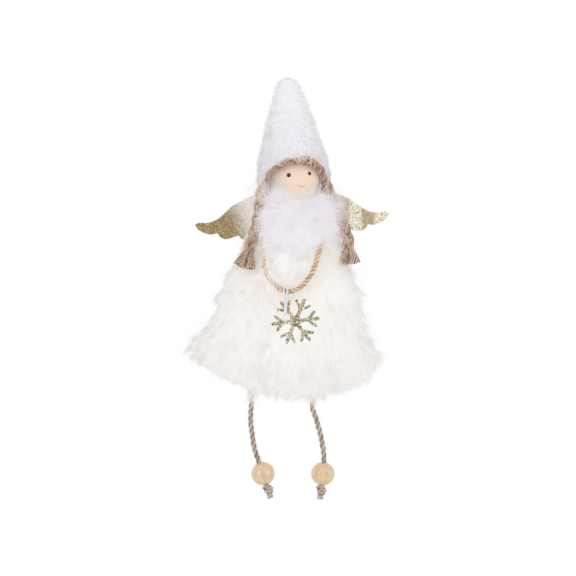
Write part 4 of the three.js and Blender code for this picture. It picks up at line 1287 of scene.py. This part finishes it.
class DOLL_OT_head(bpy.types.Operator):
    """Painted wooden head with its eyes and mouth"""

    bl_idname = "doll.head"
    bl_label = "Head"

    def execute(self, context):
        tones = context.scene.doll_colours
        centre = Vector(HEAD_PLACE) * MM
        ball = bmesh.new()
        bmesh.ops.create_uvsphere(ball, u_segments=72, v_segments=44, radius=HEAD_R * MM)
        bmesh.ops.translate(ball, verts=ball.verts[:], vec=centre)
        head = from_bmesh("head_painted", ball)
        dressed(head, self.skin_paint(tones), "painted_wood", "doll", ["head_ball"])
        light = tuple(1.8 * c for c in tones.eye)
        gloss = mottled("eye paint", tones.eye, light, 1500.0, Roughness=0.3, Specular_IOR_Level=0.3)
        for name, dot in EYES.items():
            dressed(self.paint_dot(name, *dot), gloss, "painted_wood", "doll")
        pink = mottled("mouth paint", tones.mouth, tones.skin, 1800.0, Roughness=0.5)
        bend = np.linspace(-1, 1, 9)
        smile = [self.on_head(MOUTH_X + MOUTH_HALF * b, MOUTH_Z + MOUTH_BEND * b * b, 0.02) for b in bend]
        radii = np.interp(np.abs(bend), [0, 1], [1.0, 0.35])
        mouth = tubes("mouth_line", [np.array(smile) * MM], MOUTH_R * MM, radii=radii)
        dressed(mouth, pink, "painted_wood", "doll")
        return {"FINISHED"}

    def on_head(self, x, z, lift=0.0):
        side, rise = x - HEAD_PLACE[0], z - HEAD_PLACE[2]
        reach = math.sqrt(max((HEAD_R + lift) ** 2 - side**2 - rise**2, 0))
        return np.array([x, HEAD_PLACE[1] - reach, z])

    def paint_dot(self, name, x, z, radius):
        """A low dome of paint on the ball."""
        dot = bmesh.new()
        bmesh.ops.create_uvsphere(dot, u_segments=24, v_segments=12, radius=radius * MM)
        place = Vector(self.on_head(x, z))
        out = (place - Vector(HEAD_PLACE)).normalized()
        bmesh.ops.scale(dot, verts=dot.verts[:], vec=(1, 1, 0.22))
        turn = Vector((0, 0, 1)).rotation_difference(out).to_matrix().to_4x4()
        bmesh.ops.transform(dot, matrix=Matrix.Translation(place * MM) @ turn, verts=dot.verts[:])
        return from_bmesh(name, dot)

    def skin_paint(self, tones):
        """Satin paint, with the cheeks painted lighter, partly as pink cheek paint and partly as painted
        light at the face's sides, and the paint under the mouth lighter as painted light.
        """
        material, tree, shader = finish("skin paint", Roughness=0.55, Specular_IOR_Level=0.2)
        where = object_place(tree)
        soft = noise(tree, where, 160.0, 3.0)
        blush_and_light_mask = 0.0
        # Lighter spots at the face's sides: partly pink cheek paint, partly painted light.
        for x, z, reach in CHEEK_BLUSH_AND_LIGHT:
            spot = Vector(self.on_head(x, z)) * MM
            far = add(tree, "ShaderNodeVectorMath", {0: where, 1: spot}, operation="DISTANCE")
            away = ramp(tree, far.outputs["Value"], 0.2 * reach * MM, reach * MM)
            near = math_node(tree, "SUBTRACT", 1.0, away)
            blush_and_light_mask = math_node(tree, "MAXIMUM", near, blush_and_light_mask)
        blended = mix(tree, math_node(tree, "MULTIPLY", blush_and_light_mask, 0.75), tones.skin, tones.blush_and_painted_light)
        height = add(tree, "ShaderNodeSeparateXYZ", {0: where}).outputs[2]
        # Lighter below the mouth: painted light.
        chin_light = math_node(tree, "SUBTRACT", 1.0, ramp(tree, height, CHIN_LIGHT_HEIGHTS[0] * MM, CHIN_LIGHT_HEIGHTS[1] * MM))
        blended = mix(tree, chin_light, blended, tones.chin_light)
        uneven = mix(tree, soft, (0.95, 0.95, 0.95), (1, 1, 1))
        feed(tree, shader, Base_Color=mix(tree, 1.0, blended, uneven, "MULTIPLY"))
        bump(tree, shader, soft, 0.08, 0.0002)
        return material


class DOLL_OT_hair(bpy.types.Operator):
    """Roll of hair round the face and the two plaits"""

    bl_idname = "doll.hair"
    bl_label = "Hair"

    def execute(self, context):
        tones = context.scene.doll_colours
        # Deep yarn in these finishes is painted darker: painted shade between the yarns.
        dark = (tones.hair_deep_shade, 4.0, 50.0)
        yarn = yarn_finish("hair yarn", tones.hair_light, *dark)
        coarse = yarn_finish("fringe yarn", tones.fringe_light, *dark)
        loose = yarn_finish("fringe curls", tones.curl_light, *dark)
        self.fringe(coarse, loose)
        for name, points in (("left_temple_lock", LEFT_LOCK), ("right_temple_lock", RIGHT_LOCK)):
            line = smooth_line(points, 60)
            yarns = []
            for cord in plies(line, 3, 0.6 * MM, 9 * MM):
                yarns += plies(cord, 3, 0.36 * MM, 7 * MM)
            dressed(tubes(name, yarns, 0.28 * MM, core=line), coarse, "hair_twine", "doll")
        for side, points, way, seed in (("left", LEFT_PLAIT, 1, 51), ("right", RIGHT_PLAIT, -1, 52)):
            for number in range(3):
                strand = self.strand(points, way, number)
                share = np.linspace(0, 1, len(strand))
                spread = np.interp(share, [0, 0.15, 0.86, 1], [0.6, 1, 1, 1.9]) * MM
                yarns = plies(strand, 3, 0.35 * spread, 13 * MM)
                yarns += plies(strand, 8, 0.95 * spread, 13 * MM, seed)
                full = 0.95 * spread + 0.29 * MM
                name = f"{side}_braid_{number + 1}"
                piece = tubes(name, yarns, 0.29 * MM, core=strand, reach=full, seed=seed + number)
                dressed(piece, yarn, "hair_twine", None, [f"{side}_plait_strand_{number + 1}"])
                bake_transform(piece)
        return {"FINISHED"}

    def fringe(self, coarse, loose):
        """A roll of wound yarns, thicker over the forehead, with loose curls on it."""
        line = self.fringe_line()
        share = np.linspace(0, 1, len(line))
        thick = np.interp(share, FRINGE_SHARES, FRINGE_THICKNESS) * MM
        chance = np.random.default_rng(53)
        yarns = plies(line, 3, 0.4 * thick, 9 * MM) + plies(line, 6, 0.95 * thick, 9 * MM)
        for number in range(7):
            uneven = np.interp(share, np.linspace(0, 1, 24), chance.uniform(0.78, 1.16, 24))
            slip = np.interp(share, np.linspace(0, 1, 16), chance.normal(0, 0.25, 16))
            yarns.append(wound(line, 1.55 * thick * uneven, 7.5 * MM, 2 * math.pi * number / 7 + slip))
        roll = tubes("fringe_yarn", yarns, 0.42 * MM, core=line, reach=1.55 * thick + 0.42 * MM, seed=54)
        dressed(roll, coarse, "hair_twine", "doll", ["hair_fringe"])
        roll.visible_shadow = False
        curls = []
        for at in chance.integers(14, 122, FRINGE_CURLS):
            part = slice(at, at + 18)
            lift = 1.45 + chance.uniform(0.25, 0.75) * np.sin(np.linspace(0, math.pi, 18))
            turns = chance.choice((-1, 1)) * chance.uniform(4.5, 12) * MM
            curls.append(wound(line[part], lift * thick[part], turns, chance.uniform(0, 2 * math.pi)))
        curls = tubes("fringe_curls", curls, 0.27 * MM, core=line, reach=2.1 * thick + 0.27 * MM, seed=55)
        dressed(curls, loose, "hair_twine", "doll")
        curls.visible_shadow = False

    def fringe_line(self):
        """The roll's middle line: an arch over the face, from temple to temple."""
        path = []
        for turn in np.linspace(*FRINGE_ARCH, 17):
            half = 85 if turn < 0 else 60
            rise = math.radians(FRINGE_TOP - FRINGE_FALL * (turn / half) ** 2)
            out = FRINGE_OUT + np.interp(turn, [-60, 0], [0.8, 0])
            flat = out * math.cos(rise)
            yaw = math.radians(turn)
            path.append((flat * math.sin(yaw), -flat * math.cos(yaw), out * math.sin(rise)))
        a = math.radians(HEAD_YAW)
        x, y, z = np.array(path).T
        local = np.stack([x * math.cos(a) - y * math.sin(a), x * math.sin(a) + y * math.cos(a), z], axis=1)
        return smooth_line(tilted(local, HAT_TILT, HEAD_PLACE) / MM, 150)

    def strand(self, points, way, number):
        """One strand that weaves over and under the others, loose at its cut end."""
        middle = smooth_line(points, 120) / MM
        whole = line_length(middle)
        woven = whole - PLAIT_TAIL
        along = np.linspace(0, whole, len(middle))
        turned = 2 * math.pi * ((np.minimum(along, woven) - woven) / PLAIT_PITCH + number / 3) + math.pi / 2
        loose = np.maximum(0, along - woven) / PLAIT_TAIL
        weave = np.interp(along, [0, 7], [0.3, 1])
        across = PLAIT_SWING * weave * np.sin(turned) + loose * PLAIT_TAIL_SPREAD * (1, 0, -1)[number]
        tangents = unit(np.gradient(middle, axis=0))
        wide = unit(np.cross(tangents, (0, 1.0, 0)))
        thick = unit(np.cross(wide, tangents))
        deep = PLAIT_DEPTH * weave * np.sin(2 * turned)
        return (middle + way * across[:, None] * wide + deep[:, None] * thick) * MM


class DOLL_OT_wings(bpy.types.Operator):
    """Glitter on the wing sheet, and plain finishes of what lies inside"""

    bl_idname = "doll.wings"
    bl_label = "Wings and inner pieces"

    def execute(self, context):
        tones = context.scene.doll_colours
        covered(self.wing_glitter(tones), "wings")
        dim, bright = (0.78, 0.78, 0.76), (0.95, 0.95, 0.94)
        wool = {"detail": 5.0, "relief": 0.5, "Roughness": 1.0, "Sheen_Weight": 0.3}
        fibre = mottled("fibre filling", dim, bright, 900.0, **wool)
        covered(fibre, "body_stuffing", "hat_stuffing")
        covered(wood_finish("bare peg wood", tones, 300.0, Roughness=0.7), "neck_peg")
        return {"FINISHED"}

    def wing_glitter(self, tones):
        """Gold that fades to white at the middle, with bands of painted reflection and painted shade across
        the right wing.
        """
        gold, tree, shader = finish("wing glitter")
        values = {"Light": tones.gold_spark_glint, "Mid": tones.gold_mid, "Dark": tones.gold_flake_shade}
        flakes = place_group(tree, glitter_group(), Flakes=FLAKES, **values)
        where = object_place(tree)
        x, _, z = add(tree, "ShaderNodeSeparateXYZ", {0: where}).outputs
        far = math_node(tree, "ABSOLUTE", math_node(tree, "SUBTRACT", x, WING_MIDDLE))
        ragged = math_node(tree, "MULTIPLY_ADD", noise(tree, where, 1400.0), 0.006, -0.027)
        edge = math_node(tree, "MULTIPLY_ADD", z, -0.4, math_node(tree, "ADD", far, ragged))
        right = ramp(tree, x, 0.0, 0.01)
        edge = math_node(tree, "MULTIPLY_ADD", right, 0.004, edge)
        fade = ramp(tree, edge, *GOLD_FADE)
        # A wave along x, broken by patches, paints bright and dim bands on the right wing: painted reflection
        # and painted shade.
        turn = 2 * math.pi / REFLECTION_BAND_PITCH
        wave = math_node(tree, "MULTIPLY_ADD", x, turn, math.pi / 2 - turn * REFLECTION_BAND_PLACE)
        patches = noise(tree, where, 260.0, 1.0)
        painted_reflection = math_node(tree, "MULTIPLY_ADD", patches, 1.2, math_node(tree, "SINE", wave))
        unlit_tone = mix(tree, 0.5, flakes["Colour"], tones.gold_band_shade)
        reflection_tone = mix(tree, ramp(tree, flakes["Chance"], 0.5, 0.9), tones.gold_glint, unlit_tone)
        bands = mix(tree, ramp(tree, painted_reflection, 0.1, 1.1), unlit_tone, reflection_tone)
        tone = mix(tree, fade, tones.wing_root, mix(tree, right, flakes["Colour"], bands))
        metal = math_node(tree, "MULTIPLY", fade, 0.2)
        feed(tree, shader, Base_Color=tone, Metallic=metal)
        feed(tree, shader, Roughness=flakes["Roughness"], Normal=flakes["Normal"])
        return gold


class DOLL_PT_sidebar(bpy.types.Panel):
    """The doll's pieces, sizes and colours"""

    bl_idname = "DOLL_PT_sidebar"
    bl_label = "Plush doll"
    bl_space_type = "VIEW_3D"
    bl_region_type = "UI"
    bl_category = "Doll"

    def draw(self, context):
        for operator in OPERATORS:
            self.layout.operator(operator.bl_idname)
        for group in (context.scene.doll_sizes, context.scene.doll_colours):
            box = self.layout.box()
            for name in group.__annotations__:
                box.prop(group, name)


OPERATORS = (
    DOLL_OT_stage,
    DOLL_OT_legs,
    DOLL_OT_necklace,
    DOLL_OT_dress,
    DOLL_OT_hat,
    DOLL_OT_scarf,
    DOLL_OT_head,
    DOLL_OT_hair,
    DOLL_OT_wings,
)
CLASSES = (DollSizes, DollColours, *OPERATORS, DOLL_PT_sidebar)


def register():
    for each in CLASSES:
        bpy.utils.register_class(each)
    bpy.types.Scene.doll_sizes = bpy.props.PointerProperty(type=DollSizes)
    bpy.types.Scene.doll_colours = bpy.props.PointerProperty(type=DollColours)


def unregister():
    del bpy.types.Scene.doll_colours
    del bpy.types.Scene.doll_sizes
    for each in reversed(CLASSES):
        bpy.utils.unregister_class(each)


def main():
    register()
    bpy.ops.doll.stage()
    bpy.ops.doll.legs()
    bpy.ops.doll.necklace()
    bpy.ops.doll.dress()
    bpy.ops.doll.hat()
    bpy.ops.doll.scarf()
    bpy.ops.doll.head()
    bpy.ops.doll.hair()
    bpy.ops.doll.wings()


if __name__ == "__main__":
    main()
